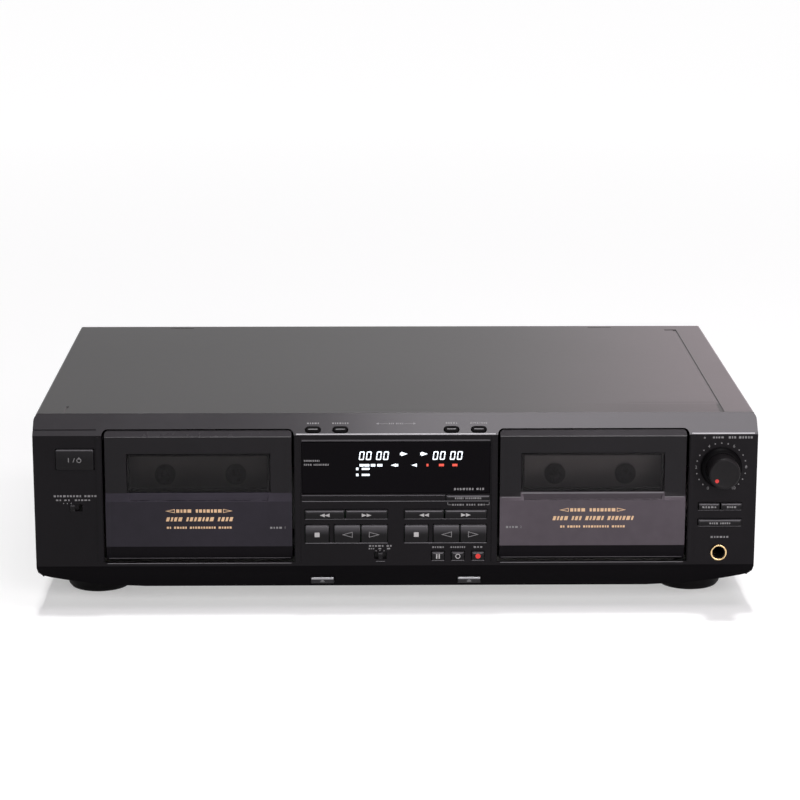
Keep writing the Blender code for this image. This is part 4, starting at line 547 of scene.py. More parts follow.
def bumped(tree, shader, height, distance):
    """Feeds a height to the shader's normal."""
    values = {"Height": height, "Distance": distance, "Strength": 1.0}
    bump = feed(tree, tree.nodes.new("ShaderNodeBump"), values)
    feed(tree, shader, {"Normal": bump.outputs["Normal"]})


TONE_SPREAD = 1.6
DUST_TINT = (0.32, 0.29, 0.30)


@kept
def moulded(
    name, tint, rough=0.5, gloss=0.25, grain_scale=2600.0, grain_depth=0.02, wear=0.35, dust=0.0,
    metallic=0.0, tone=0.5, rough_spread=0.12, upward=0.0, painted_top_highlight=None,
):
    """A moulded or painted finish: grain, slow changes of gloss, rubbed edges, painted highlight on edges
    that face up and, where asked, on faces that lean back, and a little dust.
    """
    material, tree, shader = blank(name)
    grain = grained(material, grain_scale, rough, rough_spread, TONE_SPREAD)
    base = mixed(tree, grain.outputs["Tone"], scaled(tint, 1 - tone * 0.5), scaled(tint, 1 + tone * 0.5))
    # Faces that lean back are mixed toward a lighter colour: painted highlight.
    if painted_top_highlight:
        base = mixed(tree, effect(material, "Upward Painted Highlight", Amount=1.0).outputs["Mask"], base, painted_top_highlight)
    # The edge mask mixes rubbing wear with painted highlight on upward edges; both lighten to one pale
    # colour.
    if wear:
        edge_wear_and_painted_highlight = effect(material, "Edge Wear And Painted Highlight", Amount=wear, Upward=upward, Break_Scale=260.0)
        base = mixed(tree, edge_wear_and_painted_highlight.outputs["Mask"], base, tuple(min(c * 3 + 0.06, 1.0) for c in tint))
    if dust:
        dusty = effect(material, "Settled Dust", Amount=dust, Patch_Scale=7.0)
        base = mixed(tree, dusty.outputs["Mask"], base, DUST_TINT)
    feed(tree, shader, {"Base Color": base, "Roughness": grain.outputs["Roughness"]})
    feed(tree, shader, {"Specular IOR Level": gloss, "Metallic": metallic})
    bumped(tree, shader, grain.outputs["Height"], grain_depth * MM)
    return material


@kept
def drawn_metal(name, tint, rough, stretch, contrast, depth=0.01):
    """A bare metal with drawing lines and dull patches."""
    material, tree, shader = blank(name)
    lines = effect(material, "Drawn Lines", Stretch=stretch, Contrast=contrast)
    grain = grained(material, 900.0, rough, 0.3, 1.0)
    base = mixed(tree, lines.outputs["Streak"], scaled(tint, 0.82), scaled(tint, 1.1))
    edge_wear_and_painted_highlight = effect(material, "Edge Wear And Painted Highlight", Amount=0.2, Break_Scale=180.0)
    base = mixed(tree, edge_wear_and_painted_highlight.outputs["Mask"], base, scaled(tint, 1.35))
    feed(tree, shader, {"Base Color": base, "Roughness": grain.outputs["Roughness"], "Metallic": 1.0})
    bumped(tree, shader, lines.outputs["Height"], depth * MM)
    return material


@kept
def ink(name, tint, rough=0.45):
    """A printed ink, slightly uneven where it was pressed on."""
    material, tree, shader = blank(name)
    grain = grained(material, 5200.0, rough, 0.2, 1.4)
    base = mixed(tree, grain.outputs["Tone"], scaled(tint, 0.8), scaled(tint, 1.15))
    feed(tree, shader, {"Base Color": base, "Roughness": grain.outputs["Roughness"]})
    feed(tree, shader, {"Specular IOR Level": 0.3})
    bumped(tree, shader, grain.outputs["Height"], 0.004 * MM)
    return material


@kept
def glowing(name, tint, strength):
    """A lit segment of the display, a little brighter in its middle grain."""
    material, tree, shader = blank(name)
    grain = grained(material, 3800.0, 0.5, 0.1, 1.2)
    lit = mixed(tree, grain.outputs["Tone"], scaled(tint, 0.8), tint)
    feed(tree, shader, {"Emission Color": lit, "Roughness": grain.outputs["Roughness"]})
    feed(tree, shader, {"Base Color": rgba(scaled(tint, 0.3)), "Emission Strength": strength})
    return material


@kept
def smoked(name, tint, rough, through, gloss):
    """A dark clear pane: a gloss front over what shows through."""
    material, tree, shader = blank(name)
    grain = grained(material, 900.0, rough, 0.06, 1.0)
    feed(tree, shader, {"Base Color": rgba(tint), "Specular IOR Level": gloss})
    feed(tree, shader, {"Roughness": grain.outputs["Roughness"]})
    tinge = (through, through * 0.97, through * 0.98, 1.0)
    clear = feed(tree, tree.nodes.new("ShaderNodeBsdfTransparent"), {"Color": tinge})
    edge_on = feed(tree, tree.nodes.new("ShaderNodeFresnel"), {"IOR": 1.49})
    share = tree.nodes.new("ShaderNodeMath")
    share.operation = "MULTIPLY_ADD"
    feed(tree, share, {0: edge_on.outputs[0], 1: 0.75, 2: 0.25})
    sides = {0: share.outputs[0], 1: clear.outputs[0], 2: shader.outputs[0]}
    blend = feed(tree, tree.nodes.new("ShaderNodeMixShader"), sides)
    feed(tree, tree.nodes["Material Output"], {"Surface": blend.outputs[0]})
    return material


def sizes():
    """The user's sizes."""
    return bpy.context.scene.deck_sizes


def colours():
    """The user's colours."""
    return bpy.context.scene.deck_colours


def casing_finish():
    """Satin black moulding of the front panel, with painted highlight on its upward edges."""
    return moulded("casing_black", colours().casing, rough=0.42, gloss=0.11, grain_scale=2300.0,
                   grain_depth=0.014, wear=0.25, upward=0.7, dust=0.02)


def bevel_painted_highlight_finish():
    """The same moulding where it slopes up to the cover: lighter, as painted highlight, and glossier."""
    return moulded("bevel_satin", colours().bevel, rough=0.2, gloss=0.5, grain_scale=2300.0,
                   grain_depth=0.003, wear=0.25, tone=0.25, rough_spread=0.04)


def chin_painted_shade_finish():
    """The same moulding where it faces down under the front edge, darker as painted shade."""
    return moulded("chin_matt", colours().chin, rough=0.5, gloss=0.035, grain_scale=2300.0, grain_depth=0.014,
                   wear=0.2)


def cover_finish():
    """Textured paint of the top cover."""
    return moulded("cover_paint", colours().cover, rough=0.32, gloss=0.5, grain_scale=1500.0,
                   grain_depth=0.008, wear=0.5, dust=0.06, rough_spread=0.06, tone=0.25)


def key_finish():
    """Smoother black of the key caps, with painted highlight on their upward edges and on the tops that lean
    back.
    """
    return moulded("key_black_cap", colours().key, rough=0.34, gloss=0.13, grain_scale=3200.0,
                   grain_depth=0.006, wear=0.3, upward=0.8, painted_top_highlight=colours().key_top_painted_highlight)


def inner_black():
    """Dull black of parts inside the doors."""
    return moulded("inner_black", (0.016, 0.015, 0.016), rough=0.55, grain_scale=1800.0,
                   grain_depth=0.03, wear=0.2)


def zinc_finish():
    """Zinc plated sheet of the tray and frames."""
    return drawn_metal("zinc_plate", (0.46, 0.46, 0.44), rough=0.38, stretch=(60.0, 500.0, 500.0),
                       contrast=1.6, depth=0.012)


def rubber_finish():
    """Dull rubber of feet and rollers."""
    return moulded("rubber_black", (0.016, 0.016, 0.017), rough=0.78, gloss=0.3, grain_scale=1200.0,
                   grain_depth=0.04, wear=0.3)


# Marks


def surface_of(piece):
    """A lookup of the piece's surface as it shows."""
    shown = piece.evaluated_get(bpy.context.evaluated_depsgraph_get())
    mesh = shown.to_mesh()
    points = [v.co.copy() for v in mesh.vertices]
    tree = BVHTree.FromPolygons(points, [tuple(p.vertices) for p in mesh.polygons])
    shown.to_mesh_clear()
    return tree


CUT_SNAP = 0.001 * MM
INK_SINK = -0.02 * MM
MARK_START = 6.0 * MM
MARK_LOOK = 20.0 * MM
ROUND_COUNT = 20
BLOCK_SHARES = (0.8, 0.5, 0.7, 0.95, 0.55, 0.75, 0.6)
GROUP_SPACE_SHARE = 1.2
NUMERAL_SHARE = 1.4


class Marks:
    """Flat marks that are drawn in a plane and lie down on a piece's surface."""

    def __init__(self, plane, target, step=0.0):
        self.plane, self.surface, self.step = plane, surface_of(target), step
        self.shape = Shape()

    def landed(self, point):
        """The place of a mark's point over the surface."""
        start = self.plane.at(point.x, point.y, MARK_START)
        hit = self.surface.ray_cast(start, -self.plane.out, MARK_LOOK)[0]
        if hit is None:
            raise RuntimeError(f"a mark at {point.x:.4f}, {point.y:.4f} misses its surface")
        return hit + self.plane.out * point.z

    def outline(self, points, finish=0):
        """A filled mark with a closed outline."""
        heights = (INK_SINK, sizes().print_height)
        self.shape.loft([[Vector((u, v, h)) for u, v in points] for h in heights], finish)

    def band(self, inner, outer):
        """A mark between two outlines with as many points each."""
        top = sizes().print_height
        edges = ((outer, INK_SINK), (outer, top), (inner, top), (inner, INK_SINK), (outer, INK_SINK))
        self.shape.loft([[Vector((u, v, h)) for u, v in ring] for ring, h in edges], first=False, last=False)

    def bar(self, u, v, width, height, lean=0.0, finish=0):
        """A bar about a middle point, leaning to the right by lean."""
        low, high = v - height / 2, v + height / 2
        left, right = u - width / 2, u + width / 2
        self.outline([(left, low), (right, low), (right + lean, high), (left + lean, high)], finish)

    def bars(self, table, finish=0):
        """Bars from a table of middle, width and height in millimetres."""
        for row in table:
            self.bar(*(value * MM for value in row), finish=finish)

    def dot(self, u, v, radius, count):
        """A round mark."""
        self.outline(circle((u, v), radius, count))

    def dots(self, table, radius, count):
        """Round marks from a table of places in millimetres."""
        for u, v in table:
            self.dot(u * MM, v * MM, radius, count)

    def ring(self, u, v, radius, width):
        """A round line."""
        self.band(circle((u, v), radius - width, ROUND_COUNT), circle((u, v), radius, ROUND_COUNT))

    def dashes(self, u, v, width, height, groups, lean=0.0, finish=0, sparse=0.45):
        """A row of plain blocks in groups, with changing widths, that stands where a label was."""
        count = sum(groups)
        spans = [BLOCK_SHARES[turn % len(BLOCK_SHARES)] for turn in range(count)]
        spaces = sparse * (count - len(groups)) + GROUP_SPACE_SHARE * (len(groups) - 1)
        unit = width / (sum(spans) + spaces)
        at, turn = u - width / 2, 0
        for group in groups:
            for _ in range(group):
                wide = spans[turn] * unit
                self.bar(at + wide / 2, v, wide, height, lean, finish)
                at += wide + sparse * unit
                turn += 1
            at += (GROUP_SPACE_SHARE - sparse) * unit

    def rows(self, table):
        """Rows of blocks from a table of middle, width and height in millimetres, and groups."""
        for *row, groups in table:
            self.dashes(*(value * MM for value in row), groups)

    def arrow(self, u, v, width, height, way):
        """A filled triangle that points left (-1) or right (1)."""
        tip, tail = u + way * width / 2, u - way * width / 2
        corners = [(tip, v), (tail, v + height / 2), (tail, v - height / 2)]
        self.outline(corners if way < 0 else corners[::-1])

    def arrows(self, table):
        """Triangles from a table of middle, width and height in millimetres, and way."""
        for *row, way in table:
            self.arrow(*(value * MM for value in row), way)

    def open_arrow(self, u, v, width, height, way, line):
        """A triangle drawn as a line."""
        tip, tail = u + way * width / 2, u - way * width / 2
        slope = math.hypot(width, height / 2) / (height / 2)
        inset = line * (1 + slope) * height / (2 * width)
        outer = [(tip, v), (tail, v + height / 2), (tail, v - height / 2)]
        inner = [
            (tip - way * line * slope, v),
            (tail + way * line, v + height / 2 - inset),
            (tail + way * line, v - height / 2 + inset),
        ]
        self.band(inner, outer)

    def number(self, text, u, v, height, finish=0):
        """Plain numerals."""
        curve = bpy.data.curves.new("numeral", "FONT")
        curve.body, curve.size = text, height * NUMERAL_SHARE
        curve.align_x, curve.align_y = "CENTER", "CENTER"
        curve.resolution_u = 2
        writer = placed("numeral", curve)
        shown = writer.evaluated_get(bpy.context.evaluated_depsgraph_get())
        flat = bmesh.new()
        flat.from_mesh(shown.to_mesh())
        shown.to_mesh_clear()
        made = bmesh.ops.extrude_face_region(flat, geom=list(flat.faces))
        raised = {g for g in made["geom"] if isinstance(g, bmesh.types.BMVert)}
        flat.verts.index_update()
        top = sizes().print_height
        points = [Vector((u + p.co.x, v + p.co.y, top if p in raised else INK_SINK)) for p in flat.verts]
        self.shape.add(points, [[p.index for p in f.verts] for f in flat.faces], finish)
        flat.free()
        bpy.data.objects.remove(writer)
        bpy.data.curves.remove(curve)

    def piece(self, name, materials, body):
        """The marks as one piece on a body, cut into strips where the surface is curved."""
        made = made_object(name, self.shape, materials, smooth=False)
        with edited(made.data) as laid:
            if self.step:
                low, high = min(v.co.y for v in laid.verts), max(v.co.y for v in laid.verts)
                for turn in range(1, math.ceil((high - low) / self.step)):
                    cut_along(laid, (0.0, low + turn * self.step, 0.0), BACK, snap=CUT_SNAP)
            for vertex in laid.verts:
                vertex.co = self.landed(vertex.co)
        return fitted(made, body)


FACE_LOOK_START, FACE_LOOK = 40.0 * MM, 200.0 * MM


def face_at(x, z, target):
    """The plane of a piece's front surface at a place on the face."""
    hit, normal, _, _ = surface_of(target).ray_cast(Vector((x, FACE_Y - FACE_LOOK_START, z)), BACK, FACE_LOOK)
    if hit is None:
        raise RuntimeError(f"no surface of {target.name} at {x:.4f}, {z:.4f}")
    if normal.y > 0:
        normal = -normal
    return Plane(hit, (0, normal.y, normal.z))


def face_plane(x, z):
    """A plane square to the front face."""
    return Plane((x, FACE_Y, z), OUT)


dressed = {}

# Casing

FACE_TOP = 109.0 * MM
FACE_BOTTOM = 28.5 * MM
CASE_TOP = 120.0 * MM
COVER_FACE_DEPTH = 10.0 * MM
DIP_BACK = -95.5 * MM
COVER_FRONT = -117.7 * MM
DIP_LEFT, DIP_FULL, DIP_RIGHT = 100.0 * MM, 150.0 * MM, 195.0 * MM
DIP_COLUMNS = [x * MM for x in (100.0, 110.0, 120.0, 130.0, 138.0, 142.0, 150.0)]
CREASE_ROWS = [y * MM for y in (-96.0, -95.2, -94.2, -92.6, -91.0)]
CREASE_DEPTH = 0.12 * MM


def eased(value, low, high):
    """A share that grows smoothly from 0 at low to 1 at high."""
    share = min(max((value - low) / (high - low), 0.0), 1.0)
    return share * share * (3 - 2 * share)


def dip_cover(piece):
    """Lets the cover fall a little along its front edge at the right, in front of a faint crease."""
    with edited(piece.data) as sheet:
        for y in CREASE_ROWS:
            cut_along(sheet, (0.0, y, 0.0), BACK, snap=CUT_SNAP)
        for x in DIP_COLUMNS:
            cut_along(sheet, (x, 0.0, 0.0), RIGHT, snap=CUT_SNAP)
        for vertex in sheet.verts:
            x, y, z = vertex.co
            if z < CASE_TOP - COVER_FACE_DEPTH or x > DIP_RIGHT:
                continue
            forward = min(max((DIP_BACK - y) / (DIP_BACK - COVER_FRONT), 0), 1)
            fall = sizes().cover_dip * eased(x, DIP_LEFT, DIP_FULL) * forward
            rise = eased(y, -96.0 * MM, -95.0 * MM) * (1 - eased(y, -94.4 * MM, -91.0 * MM))
            vertex.co.z -= fall + CREASE_DEPTH * eased(x, 138.0 * MM, 142.0 * MM) * rise


def build_casing():
    """The front panel, the cover, the tray, the rear panel and the feet."""
    soft = sizes()

    def front_part(polygon):
        # Faces turned up at the top get the lighter bevel colour, a painted highlight; faces turned down at
        # the foot get the darker chin colour, painted shade.
        if polygon.normal.z > 0.45 and polygon.center.z > FACE_TOP - 0.5 * MM:
            return 1
        return 2 if polygon.normal.z < -0.12 and polygon.center.z < FACE_BOTTOM + 0.5 * MM else 0

    front_finishes = [casing_finish(), bevel_painted_highlight_finish(), chin_painted_shade_finish()]
    dressed["front"] = softened("front_panel", soft.moulding_edge, front_finishes, front_part, segments=3)
    dressed["cover"] = softened("top_cover", soft.sheet_edge, [cover_finish()])
    dip_cover(dressed["cover"])
    rear_paint = moulded("rear_paint", colours().cover, grain_scale=1500.0, grain_depth=0.03, wear=0.5)
    dressed["rear"] = softened("rear_panel", soft.sheet_edge, [rear_paint])
    dressed["tray"] = softened("chassis_tray", soft.sheet_edge, [zinc_finish()])
    plastic = moulded("foot_plastic", (0.0055, 0.0050, 0.0055), gloss=0.08, grain_scale=1400.0, wear=0.3)
    for side in ("front_left", "front_right", "rear_left", "rear_right"):
        softened(f"foot_{side}", soft.moulding_edge, [plastic, rubber_finish()],
                 lambda polygon: int(polygon.normal.z < -0.9))


class CASSETTE_OT_casing(Operator):
    """Dress the front panel, cover, tray, rear panel and feet"""

    bl_idname = "cassette.casing"
    bl_label = "Casing"

    def execute(self, context):
        build_casing()
        return {"FINISHED"}


# Doors

DECKS = (("a", -1), ("b", 1))
DOOR_CENTRE = 117.4 * MM
LEDGE_TOP = 73.4 * MM
LEDGE_FOOT = 68.4 * MM
LEDGE_HALF = 43.0 * MM
LID_CHIN_TOP = 41.0 * MM
LID_BAND_FOOT = 104.0 * MM
LOW_PANEL_TOP = 70.8 * MM
UPPER_FINISH, PANEL_FINISH, LEDGE_FINISH = 0, 1, 4
# The right window lets more through than the left, so the right door looks brighter: painted light.
WINDOW_CLEARNESS_WITH_PAINTED_LIGHT = {"a": 0.56, "b": 0.68}


def lower_panel(lid, centre):
    """Lets the upper part of a lid reach down beside its ledge, so the metallic panel starts lower there;
    used on the right lid only, as painted shade beside its ledge.
    """
    ends = (((0, 0, LOW_PANEL_TOP), UP), *(((centre + way * LEDGE_HALF, 0, 0), RIGHT) for way in (-1, 1)))
    with edited(lid.data) as sheet:

        def band():
            return [
                face for face in sheet.faces
                if face.material_index in (PANEL_FINISH, LEDGE_FINISH)
                and LEDGE_FOOT - 0.1 * MM < face.calc_center_median().z < LEDGE_TOP + 0.2 * MM
            ]

        bmesh.ops.triangulate(sheet, faces=band())
        for spot, way in ends:
            cut_along(sheet, spot, way, band())
        for face in band():
            middle = face.calc_center_median()
            if abs(middle.x - centre) > LEDGE_HALF:
                face.material_index = UPPER_FINISH if middle.z > LOW_PANEL_TOP else PANEL_FINISH


def build_doors():
    """Lids with a gloss upper part and a metallic lower panel, smoked windows and holders."""
    tints = colours()
    # The upward edges of the lid get painted highlight.
    upper = moulded("door_gloss", tints.lid, rough=0.32, gloss=0.16, grain_scale=3000.0, grain_depth=0.004,
                    wear=0.3, upward=0.5)
    # The lid's top band takes the lighter bevel colour: painted highlight.
    band = moulded("door_top_band", tints.bevel, rough=0.26, gloss=0.48, grain_scale=3000.0,
                   grain_depth=0.003, wear=0.08)
    # The lid's foot takes a darker colour: painted shade.
    foot = moulded("door_foot_matt", scaled(tints.chin, 1.9), gloss=0.05, grain_scale=2300.0,
                   grain_depth=0.014, wear=0.2)

    def metallic(name, tint):
        return moulded(name, tint, rough=0.42, grain_scale=3600.0, grain_depth=0.012, wear=0.3, metallic=0.55)

    for deck, side in DECKS:
        # The two panels and ledges share one finish; their colours and ledge shares differ as painted light
        # and shade.
        tint, ledge_painted_shading = (tints.lid_panel_a_painted_shade, 1.5) if deck == "a" else (tints.lid_panel_b_painted_light, 0.66)
        panel = metallic(f"door_gunmetal_{deck}", tint)
        ledge = metallic(f"door_ledge_{deck}", scaled(tint, ledge_painted_shading))

        def lid_part(polygon, centre=side * DOOR_CENTRE):
            middle, normal = polygon.center, polygon.normal
            # Faces turned down at the foot get the painted shade finish; faces turned up in the top band get
            # the painted highlight finish.
            if middle.z < LID_CHIN_TOP and normal.z < -0.08:
                return 3
            if middle.y < FACE_Y + 5 * MM and LEDGE_FOOT - 0.4 * MM < middle.z < LEDGE_TOP + 0.4 * MM:
                if normal.y < 0 and abs(middle.x - centre) < LEDGE_HALF:
                    return LEDGE_FINISH
            if LID_CHIN_TOP - 0.6 * MM < middle.z < LEDGE_TOP + 0.2 * MM and middle.y < FACE_Y + 3 * MM:
                return PANEL_FINISH
            return 2 if middle.z > LID_BAND_FOOT and normal.z > 0.12 and normal.y < -0.2 else UPPER_FINISH

        lid_finishes = [upper, panel, band, foot, ledge]
        lid = softened(f"door_lid_{deck}", sizes().door_edge, lid_finishes, lid_part, segments=3)
        dressed[f"lid_{deck}"] = lid
        # Only the right lid: the dark strips beside its ledge are painted shade.
        if deck == "b":
            lower_panel(lid, side * DOOR_CENTRE)
        pane = smoked(f"smoked_pane_{deck}", (0.014, 0.013, 0.014), 0.06, WINDOW_CLEARNESS_WITH_PAINTED_LIGHT[deck], 0.35)
        softened(f"door_window_{deck}", 0.15 * MM, [pane])
        softened(f"cassette_holder_{deck}", 0.2 * MM, [inner_black()])


class CASSETTE_OT_doors(Operator):
    """Dress the two cassette doors with their windows and holders"""

    bl_idname = "cassette.doors"
    bl_label = "Cassette doors"

    def execute(self, context):
        build_doors()
        return {"FINISHED"}


# Mechanism

LUG_BACK = -108.0 * MM


def build_mechanism():
    """Frames with their motors, spindles, capstans, head carriages, boards and the transformer."""
    zinc = zinc_finish()
    steel = drawn_metal("turned_steel", (0.62, 0.62, 0.61), rough=0.2, stretch=(500.0, 30.0, 500.0),
                        contrast=1.0)
    hub = moulded("hub_black", (0.022, 0.022, 0.024), rough=0.4, gloss=0.5, grain_depth=0.01, wear=0.6)
    for deck, _ in DECKS:
        softened(f"mechanism_frame_{deck}", 0.2 * MM, [zinc, inner_black()],
                 lambda polygon: int(polygon.center.y < LUG_BACK))
        softened(f"head_carriage_{deck}", 0.2 * MM, [zinc])
        for side in ("left", "right"):
            softened(f"reel_spindle_{deck}_{side}", 0.12 * MM, [hub])
            softened(f"capstan_{deck}_{side}", 0.15 * MM, [steel])
    resin = moulded("board_resin_green", (0.020, 0.075, 0.035), rough=0.35, gloss=0.5, grain_scale=420.0,
                    wear=0.3, tone=0.9)
    for board in ("main_board", "control_board"):
        softened(board, 0.15 * MM, [resin])
    core = drawn_metal("core_laminations", (0.16, 0.16, 0.17), rough=0.5,
                       stretch=(40.0, 40.0, 1800.0), contrast=2.0)
    softened("power_transformer", 0.3 * MM, [core])


class CASSETTE_OT_mechanism(Operator):
    """Dress the tape mechanisms, the boards and the transformer"""

    bl_idname = "cassette.mechanism"
    bl_label = "Mechanism"

    def execute(self, context):
        build_mechanism()
        return {"FINISHED"}


# Keys

KEY_FLANGE = 0.9 * MM
KEY_FLANGE_FRONT = 2.7 * MM
KEY_FLANGE_WALL = 1.0 * MM
KEY_STEM = 2.0 * MM
OPENING_GAP = 0.35 * MM
THIN_CROWN_SHARE = 0.1
FOOT_CROWN_SHARE = 0.08
THIN_EDGE_SHARE = 0.7
TALL_KEY = 9.0 * MM
EJECT_SPLIT_RISE = 0.5 * MM
PRINTED_FACE_KEYS = ("pause_key", "record_mute_key", "record_key")
FACE_KEYS = (
    *(f"{use}_key_{deck}" for deck, _ in DECKS
      for use in ("rewind", "forward", "stop", "reverse_play", "play")),
    *PRINTED_FACE_KEYS, "dubbing_key", "fader_key", "level_hold_key", "synchro_key", "power_key",
)


def cap_ring(width, height, radius, inset):
    """Half-width and height pairs up the right side of a rounded outline, drawn in by inset."""
    w, h, r = width / 2 - inset, height / 2 - inset, max(radius - inset, 0.05 * MM)
    low = [(w - r + r * math.sin(t), -h + r - r * math.cos(t)) for t in (i * math.pi / 8 for i in range(5))]
    sides = [(w, -h + r + (2 * h - 2 * r) * i / 8) for i in range(1, 8)]
    high = [(x, -z) for x, z in reversed(low)]
    return low + sides + high


def build_key(node, radius, edge, crown, foot):
    """A key cap with a rounded front that leans back at its top, on its flange and stem."""
    low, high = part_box(node)
    top, bottom = high.z - KEY_FLANGE, low.z + KEY_FLANGE
    middle, height = Vector(((low.x + high.x) / 2, 0, (top + bottom) / 2)), top - bottom
    flange_front = FACE_Y + KEY_FLANGE_FRONT

    def ring(inset, y, crowned):
        side = cap_ring(high.x - low.x, height, radius, inset)
        points = []
        for x, z in side + [(-x, z) for x, z in reversed(side)]:
            share = z / (height / 2)
            lean = crown * max(share, 0.0) ** 2 + foot * max(-share, 0.0) ** 2
            points.append(Vector((middle.x + x, y + (lean if crowned else 0.0), middle.z + z)))
        return points

    rings = [ring(0.0, flange_front, False)]
    for turn in (math.pi / 2 * step / 4 for step in range(5)):
        rings.append(ring(edge * (1 - math.cos(turn)), low.y + edge * (1 - math.sin(turn)), True))
    shape = Shape().loft(rings, last=False)
    count = len(rings[-1])
    final = len(shape.points) - count
    for i in range(count // 2 - 1):
        shape.faces.append([final + i, final + i + 1, final + count - 2 - i, final + count - 1 - i])
        shape.finishes.append(0)
    flange_back, stem = flange_front + KEY_FLANGE_WALL, KEY_STEM / 2
    shape.box((low.x, flange_front, low.z), (high.x, flange_back, high.z))
    shape.box((middle.x - stem, flange_back, middle.z - stem), (middle.x + stem, high.y, middle.z + stem))
    piece = evened(made_object(f"{node}_cap", shape, [key_finish()]))
    dressed[node] = fitted(piece, frame["nodes"][node]["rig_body"], (node,))


def is_tall(node):
    """Whether a key is one of the tall ones."""
    low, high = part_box(node)
    return high.z - low.z > TALL_KEY


def build_keys():
    """All key caps: tall ones crowned, thin ones nearly flat, the bevel and eject keys softened."""
    soft = sizes()
    for node in FACE_KEYS:
        tall = is_tall(node)
        crown = soft.key_crown if tall and node != "power_key" else soft.key_crown * THIN_CROWN_SHARE
        edge = soft.key_edge if tall else soft.key_edge * THIN_EDGE_SHARE
        build_key(node, 1.0 * MM if tall else 0.5 * MM, edge, crown, soft.key_crown * FOOT_CROWN_SHARE)
    deep = moulded("oval_key_black", (0.0025, 0.0022, 0.0026), gloss=0.04, grain_depth=0.006, wear=0.0)
    for turn in range(1, 5):
        node = f"bevel_key_{turn}"
        dressed[node] = softened(node, 0.2 * MM, [deep], segments=3)
    dark, bright = (
        drawn_metal(name, tint, rough=0.36, stretch=(40.0, 900.0, 900.0), contrast=contrast)
        for name, tint, contrast in (
            ("eject_dark", (0.030, 0.029, 0.031), 1.0), ("eject_bright", (0.30, 0.30, 0.31), 1.2))
    )
    for deck, _ in DECKS:
        node = f"eject_key_{deck}"
        split = middle_of(node)[1] + EJECT_SPLIT_RISE
        dressed[node] = softened(node, 0.3 * MM, [dark, bright], segments=3)
        with edited(dressed[node].data) as key:
            cut_along(key, (0, 0, split), UP)
            for patch in key.faces:
                patch.material_index = int(patch.calc_center_median().z > split)
    for node in ("direction_slider", "noise_reduction_slider"):
        softened(node, 0.25 * MM, [key_finish()], segments=3)


class CASSETTE_OT_keys(Operator):
    """Make the key caps, eject keys and slide knobs"""

    bl_idname = "cassette.keys"
    bl_label = "Keys and slides"

    def execute(self, context):
        build_keys()
        return {"FINISHED"}


# Level knob and phones socket

KNOB_CENTRE = (193.51 * MM, 88.7 * MM)
KNOB_REACH = 16.0 * MM
KNOB_SKIRT = (
    (3.0, -9.0), (3.0, 0.31), (12.0, 0.31), (12.4, 0.6), (12.4, 1.1), (12.2, 1.9), (11.6, 2.9), (11.0, 3.5),
    (10.2, 3.9), (9.62, 4.0),
)
KNOB_GRIP = (
    (9.5, 4.0, 1), (9.5, 13.9, 1), (9.46, 14.5, 0.6), (9.3, 15.1, 0.2), (9.0, 15.55, 0), (8.6, 15.85, 0),
    (8.2, 15.97, 0), (7.8, 15.95, 0), (7.4, 15.8, 0), (4.0, 15.7, 0), (0.05, 15.68, 0),
)
POINTER_TURN = math.radians(46.5)
POINTER_OUT = 6.2 * MM


def build_knob():
    """The level knob: a skirt, a ribbed grip, a shallow dished face and a red dot."""
    soft = sizes()
    centre = Vector((KNOB_CENTRE[0], FACE_Y, KNOB_CENTRE[1]))
    ribs, count = soft.knob_ribs, soft.knob_ribs * 4
    shape = Shape().turned(centre, OUT, KNOB_SKIRT, count, finish=1, first=True)

    def grip_ring(radius, along, ribbed):
        depth = ribbed * soft.knob_rib_depth
        return around(centre, OUT, along * MM, count,
                      lambda turn: radius * MM - depth * (0.5 - 0.5 * math.cos(turn * ribs)))

    shape.loft([grip_ring(*row) for row in KNOB_GRIP], first=False)
    grip, skirt = (
        moulded(name, tint, rough=rough, gloss=gloss, grain_scale=2800.0, grain_depth=0.01, wear=0.4)
        for name, tint, rough, gloss in (
            ("knob_satin", (0.0055, 0.0048, 0.0055), 0.42, 0.14),
            ("knob_skirt_black", (0.0022, 0.0019, 0.0023), 0.5, 0.04))
    )
    piece = evened(made_object("level_knob_ribbed", shape, [grip, skirt]))
    fitted(piece, "level_knob", ("level_knob",))
    mark = Marks(Plane(centre + OUT * KNOB_REACH, OUT), piece)
    across, down = POINTER_OUT * math.sin(POINTER_TURN), POINTER_OUT * math.cos(POINTER_TURN)
    mark.dot(-across, -down, soft.pointer_radius, 24)
    mark.piece("level_pointer", [ink("pointer_red", colours().red, 0.35)], "level_knob")


PHONES_CENTRE = (193.5 * MM, 36.1 * MM)
PHONES_BARREL = (
    (4.85, 0.28), (4.0, 0.28), (4.0, -2.7), (6.0, -2.7), (6.0, -4.7), (4.0, -4.7), (4.0, -26.0), (3.3, -26.0),
    (3.3, -23.0), (0.05, -23.0),
)
PHONES_RING = (
    (4.85, 0.28), (4.9, 0.35), (4.9, 0.85), (4.84, 1.05), (4.66, 1.18), (4.45, 1.2), (4.15, 1.17),
    (3.95, 1.06),
    (3.85, 0.85), (3.8, 0.6),
)
PHONES_BORE = ((3.8, 0.6), (3.45, 0.4), (3.3, 0.1), (3.3, -22.9), (0.05, -22.9))
SPRING_PLACE = Vector((-1.6, 5.0, -2.4)) * MM
SPRING_LOW, SPRING_HIGH = Vector((-1.1, 0.0, -0.3)) * MM, Vector((1.1, 9.0, 0.3)) * MM


